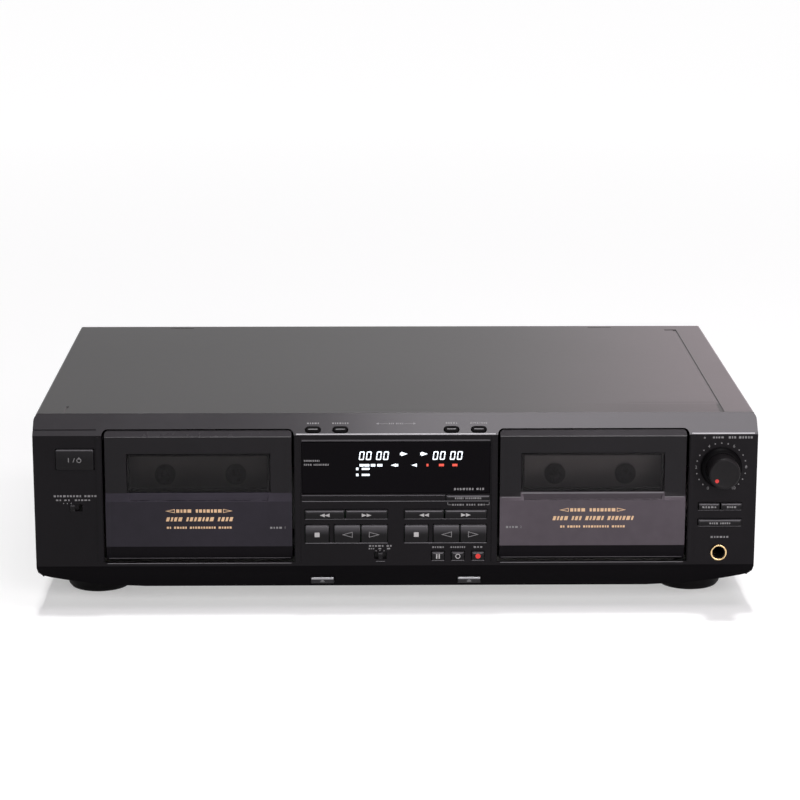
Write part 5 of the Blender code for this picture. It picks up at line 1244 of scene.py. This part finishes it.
def build_phones():
    """The headphone socket: a rounded gold ring, a dark barrel with its nut and a spring in the bore."""
    gold = drawn_metal("socket_ring_gold", (0.80, 0.58, 0.30), rough=0.24,
                       stretch=(500.0, 40.0, 500.0), contrast=0.8)
    barrel = moulded("socket_barrel", (0.008, 0.007, 0.007), gloss=0.12, grain_scale=2000.0, wear=0.2)
    centre = Vector((PHONES_CENTRE[0], FACE_Y, PHONES_CENTRE[1]))
    shape = Shape()
    for profile, finish in ((PHONES_BARREL, 1), (PHONES_RING, 0), (PHONES_BORE, 1)):
        shape.turned(centre, OUT, profile, 48, finish)
    spring = centre + SPRING_PLACE
    shape.box(spring + SPRING_LOW, spring + SPRING_HIGH)
    socket = evened(made_object("phones_socket", shape, [gold, barrel]))
    fitted(socket, "deck", ("phones_jack",))


class CASSETTE_OT_controls(Operator):
    """Make the level knob and the headphone socket"""

    bl_idname = "cassette.controls"
    bl_label = "Knob and socket"

    def execute(self, context):
        build_knob()
        build_phones()
        return {"FINISHED"}


# Display

DIGIT_HEIGHT = 5.2 * MM
DIGIT_WIDTH = 3.0 * MM
SEGMENT = 0.62 * MM
DIGIT_LEAN = 0.7 * MM
DIGIT_SPLIT = 0.12 * MM
DIGIT_PLACES = [start + step for start in (-20.3, 23.5) for step in (0.0, 4.2, 10.2, 14.4)]
DIGIT_DROP = -12.55
LIT_ARROWS = (
    (5.0, -11.5, 3.6, 2.6, 1), (17.0, -11.5, 3.6, 2.6, 1), (-1.5, -18.4, 3.2, 2.0, -1),
    (10.8, -18.4, 3.2, 2.0, -1),
)
LIT_BARS = (
    (3.0, -11.5, 1.2, 1.5), (15.0, -11.5, 1.2, 1.5), (-20.4, -18.4, 2.4, 1.5), (-17.3, -18.4, 3.0, 1.5),
    (-13.6, -18.4, 2.6, 1.5), (-9.6, -18.4, 3.0, 1.5), (0.6, -18.4, 1.4, 1.4), (-18.0, -20.6, 4.6, 1.2),
    (-23.0, -20.6, 1.4, 1.5), (-18.0, -24.3, 4.6, 1.2), (-23.0, -24.3, 1.4, 1.5),
)
RED_BARS = ((18.7, -18.4, 1.2, 1.5), (27.0, -18.4, 3.0, 1.5), (35.0, -18.4, 3.0, 1.5))
DISPLAY_ROWS = (
    (-50.0, -15.6, 9.2, 1.05, (9,)), (-47.3, -18.0, 14.6, 1.05, (4, 8)), (43.5, -33.2, 17.8, 1.3, (7, 3)),
)


def zero(marks, u, v):
    """A leaning seven-segment nought: six bars."""
    w, h, s = DIGIT_WIDTH / 2, DIGIT_HEIGHT / 2, SEGMENT
    lean = DIGIT_LEAN / DIGIT_HEIGHT
    flat, end = w - s * 0.55, h - s * 0.5
    spans = [(-flat, flat, y - s / 2, y + s / 2) for y in (-h + s / 2, h - s / 2)]
    for x in (-w + s / 2, w - s / 2):
        for low, high in ((-end, -DIGIT_SPLIT), (DIGIT_SPLIT, end)):
            spans.append((x - s / 2, x + s / 2, low, high))
    for left, right, low, high in spans:
        corners = ((left, low), (right, low), (right, high), (left, high))
        marks.outline([(u + x + lean * y, v + y) for x, y in corners])


def build_display():
    """The glossy black pane with its lit digits and marks."""
    glass = moulded("display_glass", (0.0014, 0.0008, 0.0017), rough=0.1, gloss=0.05, grain_scale=900.0,
                    grain_depth=0.0004, wear=0.0, tone=0.25, rough_spread=0.04)
    pane = softened("display_window", 0.25 * MM, [glass])
    front = face_plane(0, FACE_TOP)
    marks = Marks(front, pane)
    for u in DIGIT_PLACES:
        zero(marks, u * MM, DIGIT_DROP * MM)
    marks.arrows(LIT_ARROWS)
    marks.bars(LIT_BARS)
    marks.bars(RED_BARS, finish=1)
    tints = colours()
    lit = [glowing("display_glow", tints.glow, 1.7), glowing("display_glow_red", tints.glow_red, 0.75)]
    marks.piece("display_lit_marks", lit, "deck")
    labels = Marks(front, pane)
    labels.rows(DISPLAY_ROWS)
    labels.piece("display_side_labels", [ink("label_ink", tints.label)], "deck")


class CASSETTE_OT_display(Operator):
    """Make the display pane with its lit digits"""

    bl_idname = "cassette.display"
    bl_label = "Display"

    def execute(self, context):
        build_display()
        return {"FINISHED"}


# Prints

MARK_STEP = 0.6 * MM
KEY_MARK_DROP = -0.3 * MM
OUTLINE_WIDTH = 0.34 * MM


def over_key(node):
    """Marks about the middle of a key's cap, which is curved."""
    return Marks(face_plane(*middle_of(node)), dressed[node], MARK_STEP)


def print_transport():
    """The symbols on the transport keys of both decks."""
    pale, red = ink("symbol_ink", colours().symbol), ink("symbol_red", colours().red)
    for deck, _ in DECKS:
        for node, way in ((f"rewind_key_{deck}", -1), (f"forward_key_{deck}", 1)):
            marks = over_key(node)
            for step in (-1.45 * MM, 1.45 * MM):
                marks.arrow(step, KEY_MARK_DROP, 2.9 * MM, 2.2 * MM, way)
            marks.piece(f"{node}_symbol", [pale], node)
        node = f"stop_key_{deck}"
        marks = over_key(node)
        marks.bar(0, KEY_MARK_DROP, 2.9 * MM, 2.8 * MM)
        marks.piece(f"{node}_symbol", [pale], node)
        for node, way in ((f"reverse_play_key_{deck}", -1), (f"play_key_{deck}", 1)):
            marks = over_key(node)
            marks.open_arrow(0, KEY_MARK_DROP, 6.4 * MM, 3.6 * MM, way, OUTLINE_WIDTH)
            marks.piece(f"{node}_symbol", [ink("outline_ink", colours().label)], node)
    pause, mute, record = (over_key(node) for node in PRINTED_FACE_KEYS)
    pause.bars(((-0.75, 0, 0.75, 2.9), (0.75, 0, 0.75, 2.9)))
    mute.ring(0, 0, 1.5 * MM, 0.42 * MM)
    record.dot(0, 0, 1.55 * MM, ROUND_COUNT)
    for node, marks, tone in zip(PRINTED_FACE_KEYS, (pause, mute, record), (pale, pale, red)):
        marks.piece(f"{node}_symbol", [tone], node)


DOOR_ROWS = {
    "a": {"middle": -117.35 * MM, "wide": 39.4 * MM, "groups": (4, 7, 4), "number": "1"},
    "b": {"middle": 117.5 * MM, "wide": 48.0 * MM, "groups": (4, 3, 5, 7), "number": "2"},
}
DOOR_ROWS_HEIGHT = FACE_TOP - 51.9 * MM
DOOR_ROW_EDGE = 47.0 * MM


def print_doors():
    """Gold rows and the small number on each door."""
    gold = ink("gold_ink", colours().gold_ink, 0.35)
    for deck, side in DECKS:
        door = DOOR_ROWS[deck]
        rows = Marks(face_plane(door["middle"], DOOR_ROWS_HEIGHT), dressed[f"lid_{deck}"])
        for way in (-1, 1):
            rows.open_arrow(way * 17.2 * MM, 5.6 * MM, 5.6 * MM, 2.4 * MM, way, OUTLINE_WIDTH)
        rows.dashes(0, 5.6 * MM, 27.0 * MM, 2.0 * MM, (4, 7), sparse=0.3)
        rows.dashes(0, 0.5 * MM, door["wide"], 2.5 * MM, door["groups"], 0.7 * MM, sparse=0.4)
        rows.dashes(0, -4.7 * MM, 38.6 * MM, 1.3 * MM, (2, 5, 10, 5), sparse=0.35)
        edge = -side * DOOR_ROW_EDGE
        rows.dashes(edge - 1.2 * MM, -4.9 * MM, 7.0 * MM, 1.2 * MM, (4,), finish=1)
        rows.number(door["number"], edge + 4.2 * MM, -4.9 * MM, 1.5 * MM, finish=1)
        rows.piece(f"door_rows_{deck}", [gold, ink("label_ink", colours().label)], f"door_{deck}")


PANEL_ROWS = (
    (-190.7, -36.9, 25.4, 1.15, (9, 4)), (-200.6, -39.4, 3.0, 0.9, (2,)), (-195.6, -39.4, 3.2, 0.9, (2,)),
    (-186.4, -39.4, 9.0, 0.9, (5,)), (-9.35, -68.3, 13.5, 1.0, (5, 2)), (-14.6, -70.0, 3.4, 0.8, (3,)),
    (-9.6, -70.0, 1.6, 0.8, (1,)), (-4.4, -70.0, 1.8, 0.8, (1,)), (193.8, -63.4, 10.6, 1.1, (6,)),
    (191.3, -1.9, 6.4, 1.1, (4,)), (204.6, -1.9, 14.2, 1.35, (3, 5)), (43.2, -42.9, 19.5, 1.0, (5, 4, 3)),
)
PANEL_BARS = (
    (32.0, -42.9, 2.2, 0.24), (30.9, -42.1, 0.24, 1.7), (54.5, -42.9, 2.2, 0.24), (55.6, -42.1, 0.24, 1.7),
)
PANEL_DOTS = ((-197.6, -41.4), (-195.4, -41.4), (-193.2, -41.4), (-11.9, -71.3), (-9.5, -71.3), (-7.1, -71.3))
PANEL_DOT_RADIUS = 0.32 * MM
DIAL_STEPS = 20
DIAL_START, DIAL_SWEEP = -149.5, 298.5
DIAL_RADIUS = 14.9 * MM
DIAL_DOT_RADIUS = 0.42 * MM


def print_panel():
    """Grey labels, the dial and the slide marks on the front panel."""
    grey = ink("label_ink", colours().label)
    face = Marks(face_plane(0, FACE_TOP), dressed["front"])
    face.rows(PANEL_ROWS)
    face.bars(PANEL_BARS)
    face.dots(PANEL_DOTS, PANEL_DOT_RADIUS, 8)
    for node, count in zip(PRINTED_FACE_KEYS, (5, 7, 3)):
        face.dashes(middle_of(node)[0], -69.2 * MM, (2.4 + 0.9 * count) * MM, 1.0 * MM, (count,))
    face.outline([(182.6 * MM, -2.5 * MM), (184.0 * MM, -2.5 * MM), (183.3 * MM, -1.3 * MM)])
    face.piece("panel_labels", [grey], "deck")
    dial = Marks(face_plane(*KNOB_CENTRE), dressed["front"])
    for step in range(DIAL_STEPS + 1):
        turn = math.radians(DIAL_START + DIAL_SWEEP * step / DIAL_STEPS)
        u, v = math.sin(turn) * DIAL_RADIUS, math.cos(turn) * DIAL_RADIUS
        if step % 4 == 0:
            dial.number(str(step // 2), u, v, 1.9 * MM)
        else:
            dial.dot(u, v, DIAL_DOT_RADIUS, 10)
    dial.piece("level_dial_marks", [grey], "deck")


# Heights of the painted highlight lines under the doors and along the lid feet.
SILL_HIGHLIGHT_HEIGHT = 30.2 * MM
LID_HIGHLIGHT_HEIGHT = 32.65 * MM
CONSOLE_HALF = 55.9 * MM
HIGHLIGHTED_KEY_ROWS = (
    *((f"{first}_key_{deck}", f"{last}_key_{deck}", tall) for deck, _ in DECKS for first, last, tall in (
        ("stop", "play", 0.45), ("rewind", "forward", 0.3))),
    *((node, node, 0.36) for node in PRINTED_FACE_KEYS),
    ("fader_key", "level_hold_key", 0.2), ("synchro_key", "synchro_key", 0.2),
)


def print_door_highlight_lines(deck, inks):
    """The painted highlight line along the foot of a door, and those over the right door's panel."""
    low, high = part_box(f"door_lid_{deck}")
    foot = Marks(face_plane((low.x + high.x) / 2, LID_HIGHLIGHT_HEIGHT), dressed[f"lid_{deck}"])
    foot.bar(0, 0, high.x - low.x - 2.4 * MM, 0.32 * MM)
    if deck == "b":
        foot.bar(0, LEDGE_TOP - 0.45 * MM - LID_HIGHLIGHT_HEIGHT, 2 * LEDGE_HALF - 1.2 * MM, 0.6 * MM)
        reach = (high.x - low.x) / 2 - 1.2 * MM
        for way in (-1, 1):
            foot.bar(way * (reach + LEDGE_HALF) / 2, LOW_PANEL_TOP - 0.3 * MM - LID_HIGHLIGHT_HEIGHT, reach - LEDGE_HALF,
                     0.3 * MM)
    foot.piece(f"door_foot_line_{deck}", inks, f"door_{deck}")


def print_painted_highlights():
    """Pale lines painted as highlights along the ribs, sills and key rows of the moulded front."""
    tints = colours()
    inks = [ink("rib_sheen", tints.sheen, 0.35), ink("strip_dim", tints.strip, 0.35)]
    face = Marks(face_plane(0, FACE_TOP), dressed["front"])

    def line(low, high, drop, height=0.4, finish=0):
        face.bar((low + high) / 2, -drop * MM, high - low, height * MM, finish=finish)

    # The dim strip above the display: a painted highlight.
    line(-CONSOLE_HALF, CONSOLE_HALF, 3.2, 0.9, 1)
    line(-CONSOLE_HALF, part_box("dubbing_key")[0].x - 0.6 * MM, 36.9, 0.45)
    line(-CONSOLE_HALF, CONSOLE_HALF, 40.6, 0.35)
    for first, last, tall in HIGHLIGHTED_KEY_ROWS:
        low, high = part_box(first)[0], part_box(last)[1]
        line(low.x, high.x, (FACE_TOP - low.z - KEY_FLANGE + OPENING_GAP) / MM + tall / 2 + 0.12, tall)
    line(-12.0 * MM, -6.6 * MM, 77.95, 0.3)
    for deck, _ in DECKS:
        low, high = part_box(f"door_lid_{deck}")
        line(low.x + 0.6 * MM, high.x - 0.6 * MM, (FACE_TOP - SILL_HIGHLIGHT_HEIGHT) / MM)
        print_door_highlight_lines(deck, inks[:1])
    face.piece("panel_painted_highlight_lines", inks, "deck")


BEVEL_OUT = (0, -1, 1)


def print_bevel_highlight():
    """The pale line along the lower edge of the bevel, a painted highlight."""
    trim = Marks(Plane((0, FACE_Y, FACE_TOP), BEVEL_OUT), dressed["front"])
    trim.bars(((0, 0.75, 118.4, 0.8), (194.4, 0.75, 37.2, 0.8)))
    trim.piece("bevel_painted_highlight_lines", [ink("trim_ink", colours().trim, 0.3)], "deck")


def print_bevel():
    """The short rows over the oval keys and the arrowed line on the bevel."""
    grey = ink("label_ink", colours().label)
    marks = Marks(Plane((0, FACE_Y, FACE_TOP), BEVEL_OUT), dressed["front"])
    for turn, (width, count) in enumerate(((7.0, 5), (9.6, 7), (6.8, 5), (10.0, 8)), 1):
        node = f"bevel_key_{turn}"
        marks.dashes(middle_of(node)[0], 8.3 * MM, width * MM, 1.0 * MM, (count,))
        low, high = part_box(node)
        cap = Marks(Plane((low + high) / 2, BEVEL_OUT), dressed[node])
        cap.bar(0, 0, 5.4 * MM, 0.5 * MM)
        cap.piece(f"{node}_line", [grey], node)
    marks.bars(((-7.4, 8.0, 5.2, 0.22), (7.6, 8.0, 5.2, 0.22)))
    marks.rows(((0.1, 8.0, 8.6, 0.9, (3, 4)),))
    marks.arrows(((-11.0, 8.0, 1.7, 1.3, -1), (11.2, 8.0, 1.7, 1.3, 1)))
    marks.piece("bevel_labels", [grey], "deck")


KEY_LABELS = {
    "dubbing_key": (15.6, (5, 9)), "fader_key": (8.2, (5,)), "level_hold_key": (5.4, (4,)),
    "synchro_key": (12.4, (4, 5)),
}


def print_small_keys():
    """Labels on the power, dubbing and thin keys, and the painted highlight line along the tops of the caps.
    """
    grey = ink("label_ink", colours().label)
    for node, (width, groups) in KEY_LABELS.items():
        marks = over_key(node)
        marks.dashes(0, -0.2 * MM, width * MM, 1.1 * MM, groups)
        marks.piece(f"{node}_label", [grey], node)
    marks = over_key("power_key")
    marks.bars(((-3.6, 0, 0.5, 2.6), (-0.9, 0, 0.35, 2.6, 0.9), (2.6, 1.1, 0.45, 1.3)))
    marks.ring(2.6 * MM, -0.2 * MM, 1.4 * MM, 0.38 * MM)
    marks.piece("power_key_symbol", [grey], "power_key")
    sheen = ink("rib_sheen", colours().sheen, 0.35)
    for node in FACE_KEYS:
        if node != "power_key":
            low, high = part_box(node)
            marks = over_key(node)
            marks.bar(0, (high.z - low.z) / 2 - KEY_FLANGE - 0.62 * MM, high.x - low.x - 1.6 * MM,
                      0.7 * MM if is_tall(node) else 0.36 * MM)
            marks.piece(f"{node}_top_painted_highlight", [sheen], node)
    for deck, _ in DECKS:
        node = f"eject_key_{deck}"
        marks = Marks(face_at(*middle_of(node), dressed[node]), dressed[node])
        marks.bar(0, -1.0 * MM, 2.6 * MM, 0.4 * MM)
        marks.outline([(-1.3 * MM, -0.55 * MM), (1.3 * MM, -0.55 * MM), (0.0, 0.35 * MM)])
        marks.piece(f"{node}_symbol", [ink("eject_ink", (0.16, 0.16, 0.165))], node)


class CASSETTE_OT_prints(Operator):
    """Lay down the printed symbols, rows and numbers"""

    bl_idname = "cassette.prints"
    bl_label = "Prints"

    def execute(self, context):
        print_transport()
        print_doors()
        print_panel()
        print_painted_highlights()
        print_bevel_highlight()
        print_bevel()
        print_small_keys()
        return {"FINISHED"}


# Rear

JACK_HEIGHTS = (53.5 * MM, 68.5 * MM)
JACK_PLACES = [(across * MM, up) for up in JACK_HEIGHTS for across in (112.0, 128.0)]
JACK_PLATE_TOP = 1.9 * MM
JACK_SLEEVE_RADIUS = 4.15 * MM
JACK_BORE_RADIUS = 1.8 * MM
JACK_RING = ((4.25, -0.05), (5.7, -0.05), (5.7, 0.35), (5.55, 0.5), (4.4, 0.5), (4.25, 0.35), (4.25, -0.05))


def build_rear():
    """The pin-jack block with bright sleeves and coloured rings, the cord gland and the marks beside them."""
    plate = moulded("jack_plate_black", (0.014, 0.014, 0.015), grain_scale=1800.0, wear=0.3)
    sleeve = drawn_metal("jack_sleeve", (0.62, 0.61, 0.58), rough=0.26,
                         stretch=(500.0, 40.0, 500.0), contrast=0.8)
    rear_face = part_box("rear_panel")[1].y
    plate_face = rear_face + JACK_PLATE_TOP

    def jack_part(polygon):
        middle = polygon.center
        away = min(math.hypot(middle.x - across, middle.z - up) for across, up in JACK_PLACES)
        if away > JACK_SLEEVE_RADIUS + 0.1 * MM or middle.y < plate_face - 0.1 * MM:
            return 0
        return 2 if away < JACK_BORE_RADIUS + 0.05 * MM else 1

    softened("jack_block", 0.25 * MM, [plate, sleeve, inner_black()], jack_part)
    softened("cord_gland", 0.3 * MM, [rubber_finish()])
    rings = Shape()
    for across, up in JACK_PLACES:
        rings.turned(Vector((across, plate_face, up)), BACK, JACK_RING, 32, int(up == JACK_HEIGHTS[0]))
    ring_finishes = [moulded("jack_ring_white", (0.55, 0.55, 0.53), rough=0.4, grain_scale=2400.0),
                     moulded("jack_ring_red", (0.42, 0.022, 0.020), rough=0.4, grain_scale=2400.0)]
    fitted(evened(made_object("jack_rings", rings, ring_finishes)), "deck")
    marks = Marks(Plane((0, rear_face, 0), BACK), dressed["rear"])
    for up in JACK_HEIGHTS:
        marks.dashes(150.0 * MM, -up, 12.0 * MM, 1.8 * MM, (5,))
        marks.dashes(92.0 * MM, -up, 9.0 * MM, 1.8 * MM, (4,))
    marks.outline(oblong((-128.0 * MM, -80.0 * MM), 56.0 * MM, 20.0 * MM, 1.2 * MM), 1)
    inks = [ink("label_ink", colours().label), ink("plate_foil", (0.42, 0.42, 0.41), 0.3)]
    marks.piece("rear_marks", inks, "deck")


# Screws

CROSS_ARM_SHARE, CROSS_HALF_SHARE, CROSS_FLOOR_SHARE = 0.56, 0.17, 0.25
SCREW_STEPS = 48
SCREW_DOME_SHARES = ((1.0, -0.1), (1.0, 0.35), (0.95, 0.62), (0.82, 0.86), (0.66, 0.97))
SCREW_LOOK = 100.0 * MM
COVER_SCREWS = [Vector((side * 260.0, y, 32.0)) * MM for side in (-1, 1) for y in (-84.0, 96.0)]
REAR_SCREWS = [Vector((x, 200.0, z)) * MM for x, z in (
    (-196, 112), (-98, 112), (0, 112), (98, 112), (196, 112), (-196, 28), (0, 28), (196, 28))]
BASE_SCREWS = [Vector((x, y, -20.0)) * MM for x in (-150, 0, 150) for y in (-104, 118)]


def cross_reach(turn, radius):
    """How far the cross recess reaches at an angle round a screw head."""
    folded = abs((turn + math.pi / 4) % (math.pi / 2) - math.pi / 4)
    arm, half = CROSS_ARM_SHARE * radius, CROSS_HALF_SHARE * radius
    return arm / math.cos(folded) if math.tan(folded) * arm < half else half / math.sin(folded)


def add_screw(shape, centre, axis):
    """A low domed head with a cross recess."""
    radius, height = sizes().screw_radius, sizes().screw_height
    outlines = [(along, lambda turn, share=share: share * radius) for share, along in SCREW_DOME_SHARES]
    outlines += [(along, lambda turn: cross_reach(turn, radius)) for along in (1.0, CROSS_FLOOR_SHARE)]
    shape.loft([around(centre, axis, along * height, SCREW_STEPS, reach) for along, reach in outlines])


def build_screws():
    """The screws of the cover, the rear panel and the tray."""
    steel = drawn_metal("screw_black_zinc", (0.16, 0.16, 0.165), rough=0.3, stretch=(300.0, 300.0, 300.0),
                        contrast=0.9)
    shape = Shape()

    def driven(piece, starts, way):
        surface = surface_of(piece)
        for start in starts:
            hit = surface.ray_cast(start, way, SCREW_LOOK)[0]
            if hit is None:
                raise RuntimeError(f"a screw misses {piece.name} at {tuple(start)}")
            add_screw(shape, hit, -way)

    driven(dressed["cover"], COVER_SCREWS[:2], RIGHT)
    driven(dressed["cover"], COVER_SCREWS[2:], -RIGHT)
    driven(dressed["rear"], REAR_SCREWS, -BACK)
    driven(dressed["tray"], BASE_SCREWS, UP)
    fitted(evened(made_object("case_screws", shape, [steel])), "deck")


class CASSETTE_OT_rear(Operator):
    """Dress the rear sockets and the cord gland, and drive the screws"""

    bl_idname = "cassette.rear"
    bl_label = "Rear and screws"

    def execute(self, context):
        build_rear()
        build_screws()
        return {"FINISHED"}


# Stage

CAMERA_PLACE = (-0.02037, -1.57805, 0.47542)
CAMERA_YAW = math.radians(0.898)
CAMERA_PITCH = math.radians(13.392)
CAMERA_ROLL = math.radians(0.07)
SENSOR = 36.0


def studio_surface(name, tint, glow, far_glow):
    """A pale surface that keeps shadows, and that the camera, gloss and glass see brighter far away."""
    material, tree, shader = blank(name)
    path = tree.nodes.new("ShaderNodeLightPath")
    seen = arithmetic(tree, "ADD", path.outputs["Is Camera Ray"], path.outputs["Is Glossy Ray"], True)
    seen = arithmetic(tree, "ADD", seen, path.outputs["Is Transmission Ray"], True)
    away = tree.nodes.new("ShaderNodeVectorMath")
    away.operation = "LENGTH"
    feed(tree, away, {0: place(tree)})
    level = spread(tree, away.outputs["Value"], glow, glow + far_glow, 0.35, 2.2)
    light = feed(tree, tree.nodes.new("ShaderNodeEmission"), {
        "Color": (1.0, 1.0, 1.0, 1.0), "Strength": times(tree, seen, level)})
    uneven = grained(material, 40.0, 0.9, 0.1, 0.4)
    base = mixed(tree, uneven.outputs["Tone"], scaled(tint, 0.985), tint)
    feed(tree, shader, {"Base Color": base, "Roughness": uneven.outputs["Roughness"]})
    feed(tree, shader, {"Specular IOR Level": 0.0})
    both = feed(tree, tree.nodes.new("ShaderNodeAddShader"), {0: shader.outputs[0], 1: light.outputs[0]})
    feed(tree, tree.nodes["Material Output"], {"Surface": both.outputs[0]})
    return material


def lamp(name, power, width, depth, place_at, aim, tint=(1.0, 1.0, 1.0)):
    """A soft rectangular lamp aimed at a point."""
    data = bpy.data.lights.new(name, "AREA")
    data.shape, data.size, data.size_y = "RECTANGLE", width, depth
    data.energy, data.color = power, tint
    light = placed(name, data)
    light.location = place_at
    light.rotation_euler = (Vector(aim) - Vector(place_at)).to_track_quat("-Z", "Y").to_euler()
    return light


def flagged(light, *pieces):
    """Keeps a lamp's light off some pieces, as a studio flag does."""
    flag = bpy.data.collections.new(f"{light.name}_flag")
    for piece in pieces:
        flag.objects.link(piece)
    for row in flag.collection_objects:
        row.light_linking.link_state = "EXCLUDE"
    light.light_linking.receiver_collection = flag


SUN_BACK_TILT = math.radians(4.0)
SUN_SPREAD = math.radians(5.0)
FAR_GLOW = 0.14


def build_world(level):
    """A white backdrop whose reflection is darker to the left, overhead and behind the camera."""
    world = bpy.data.worlds.new("studio_world")
    bpy.context.scene.world = world
    world.use_nodes = True
    tree = world.node_tree
    path = tree.nodes.new("ShaderNodeLightPath").outputs
    glossy = path["Is Glossy Ray"]
    where = tree.nodes.new("ShaderNodeTexCoord").outputs["Generated"]
    way = feed(tree, tree.nodes.new("ShaderNodeSeparateXYZ"), {0: where}).outputs
    across = arithmetic(tree, "ADD", spread(tree, way["X"], 0.46, 0.66, -0.15, 0.05),
                        spread(tree, way["X"], 0.0, 0.78, 0.06, 0.14))
    depth = spread(tree, way["Y"], 0.3, 1.0, -0.2, 0.3)
    high = spread(tree, way["Z"], 1.0, 0.6, math.sin(math.radians(15)), math.sin(math.radians(21)))
    around_level = spread(tree, glossy, level, times(tree, times(tree, across, depth), high))
    seen = arithmetic(tree, "ADD", path["Is Camera Ray"], path["Is Transmission Ray"], True)
    warm = times(tree, spread(tree, way["X"], 0.0, 1.0, 0.06, 0.14), glossy)
    feed(tree, tree.nodes["Background"], {
        "Strength": spread(tree, seen, around_level, 1.0),
        "Color": mixed(tree, warm, (1.0, 1.0, 1.0), (1.0, 0.86, 0.91)),
    })


def build_sun(level):
    """The broad overhead light, a little behind the deck."""
    data = bpy.data.lights.new("overhead_sun", "SUN")
    data.energy, data.angle = level, SUN_SPREAD
    placed("overhead_sun", data).rotation_euler = (-SUN_BACK_TILT, 0.0, 0.0)


def build_camera(focal_length):
    """The camera at the photograph's angle."""
    data = bpy.data.cameras.new("photo_camera")
    data.lens, data.sensor_width = focal_length, SENSOR
    data.clip_start, data.clip_end = 0.05, 60.0
    camera = placed("photo_camera", data)
    camera.location = CAMERA_PLACE
    turn = Matrix.Rotation(-CAMERA_YAW, 3, "Z") @ Matrix.Rotation(math.pi / 2 - CAMERA_PITCH, 3, "X")
    camera.rotation_euler = (turn @ Matrix.Rotation(CAMERA_ROLL, 3, "Z")).to_euler()
    bpy.context.scene.camera = camera


def build_stage():
    """Floor, world, lamps and the camera at the photograph's angle."""
    stage = bpy.context.scene.stage_settings
    half = stage.floor_size / 2
    corners = [(-half, -half, 0), (half, -half, 0), (half, half, 0), (-half, half, 0)]
    floor = Shape().add(corners, [(0, 1, 2, 3)])
    white = studio_surface("studio_floor_white", (0.70, 0.695, 0.70), stage.floor_glow, FAR_GLOW)
    made_object("studio_floor", floor, [white], smooth=False)
    build_world(stage.world_level)
    build_sun(stage.sun_level)
    lamp("front_softbox", stage.softbox_power, 0.66, 0.4, (0.31, -0.37, 1.1), (0.31, -0.13, 0.08),
         (1.0, 0.95, 1.0))
    brow = lamp("brow_softbox", stage.brow_power, 1.4, 0.5, (0.3, -1.9, 1.0), (0.05, -0.13, 0.08))
    low_right = lamp("low_right_lamp", stage.low_power, 0.5, 0.4, (0.75, -1.35, 0.35), (0.12, -0.13, 0.06),
                     (1.0, 0.93, 0.97))
    for front_lamp in (brow, low_right):
        flagged(front_lamp, dressed["cover"])
    build_camera(stage.focal_length)
    bpy.context.scene.view_settings.view_transform = "Standard"


class CASSETTE_OT_stage(Operator):
    """Set up the floor, the light and the camera"""

    bl_idname = "cassette.stage"
    bl_label = "Studio stage"

    def execute(self, context):
        build_stage()
        return {"FINISHED"}


# Panel

OPERATORS = (
    CASSETTE_OT_casing,
    CASSETTE_OT_doors,
    CASSETTE_OT_mechanism,
    CASSETTE_OT_keys,
    CASSETTE_OT_controls,
    CASSETTE_OT_display,
    CASSETTE_OT_prints,
    CASSETTE_OT_rear,
    CASSETTE_OT_stage,
)


class CASSETTE_PT_sidebar(Panel):
    """Lists the steps that dress the deck and their settings"""

    bl_label = "Cassette Deck"
    bl_idname = "CASSETTE_PT_sidebar"
    bl_space_type = "VIEW_3D"
    bl_region_type = "UI"
    bl_category = "Cassette Deck"

    def draw(self, context):
        layout = self.layout
        for operator in OPERATORS:
            layout.operator(operator.bl_idname)
        for group in (context.scene.deck_sizes, context.scene.deck_colours, context.scene.stage_settings):
            column = layout.box().column()
            for label in group.bl_rna.properties.keys():
                if label not in ("rna_type", "name"):
                    column.prop(group, label)


CLASSES = (DeckSizes, DeckColours, StageSettings, *OPERATORS, CASSETTE_PT_sidebar)


def register():
    """Registers the classes and hangs the settings on the scene."""
    for cls in CLASSES:
        bpy.utils.register_class(cls)
    bpy.types.Scene.deck_sizes = PointerProperty(type=DeckSizes)
    bpy.types.Scene.deck_colours = PointerProperty(type=DeckColours)
    bpy.types.Scene.stage_settings = PointerProperty(type=StageSettings)


def unregister():
    """Takes the settings and the classes away again."""
    del bpy.types.Scene.stage_settings
    del bpy.types.Scene.deck_colours
    del bpy.types.Scene.deck_sizes
    for cls in reversed(CLASSES):
        bpy.utils.unregister_class(cls)


def main():
    """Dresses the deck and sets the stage."""
    register()
    bpy.ops.cassette.casing()
    bpy.ops.cassette.doors()
    bpy.ops.cassette.mechanism()
    bpy.ops.cassette.keys()
    bpy.ops.cassette.controls()
    bpy.ops.cassette.display()
    bpy.ops.cassette.prints()
    bpy.ops.cassette.rear()
    bpy.ops.cassette.stage()


if __name__ == "__main__":
    main()
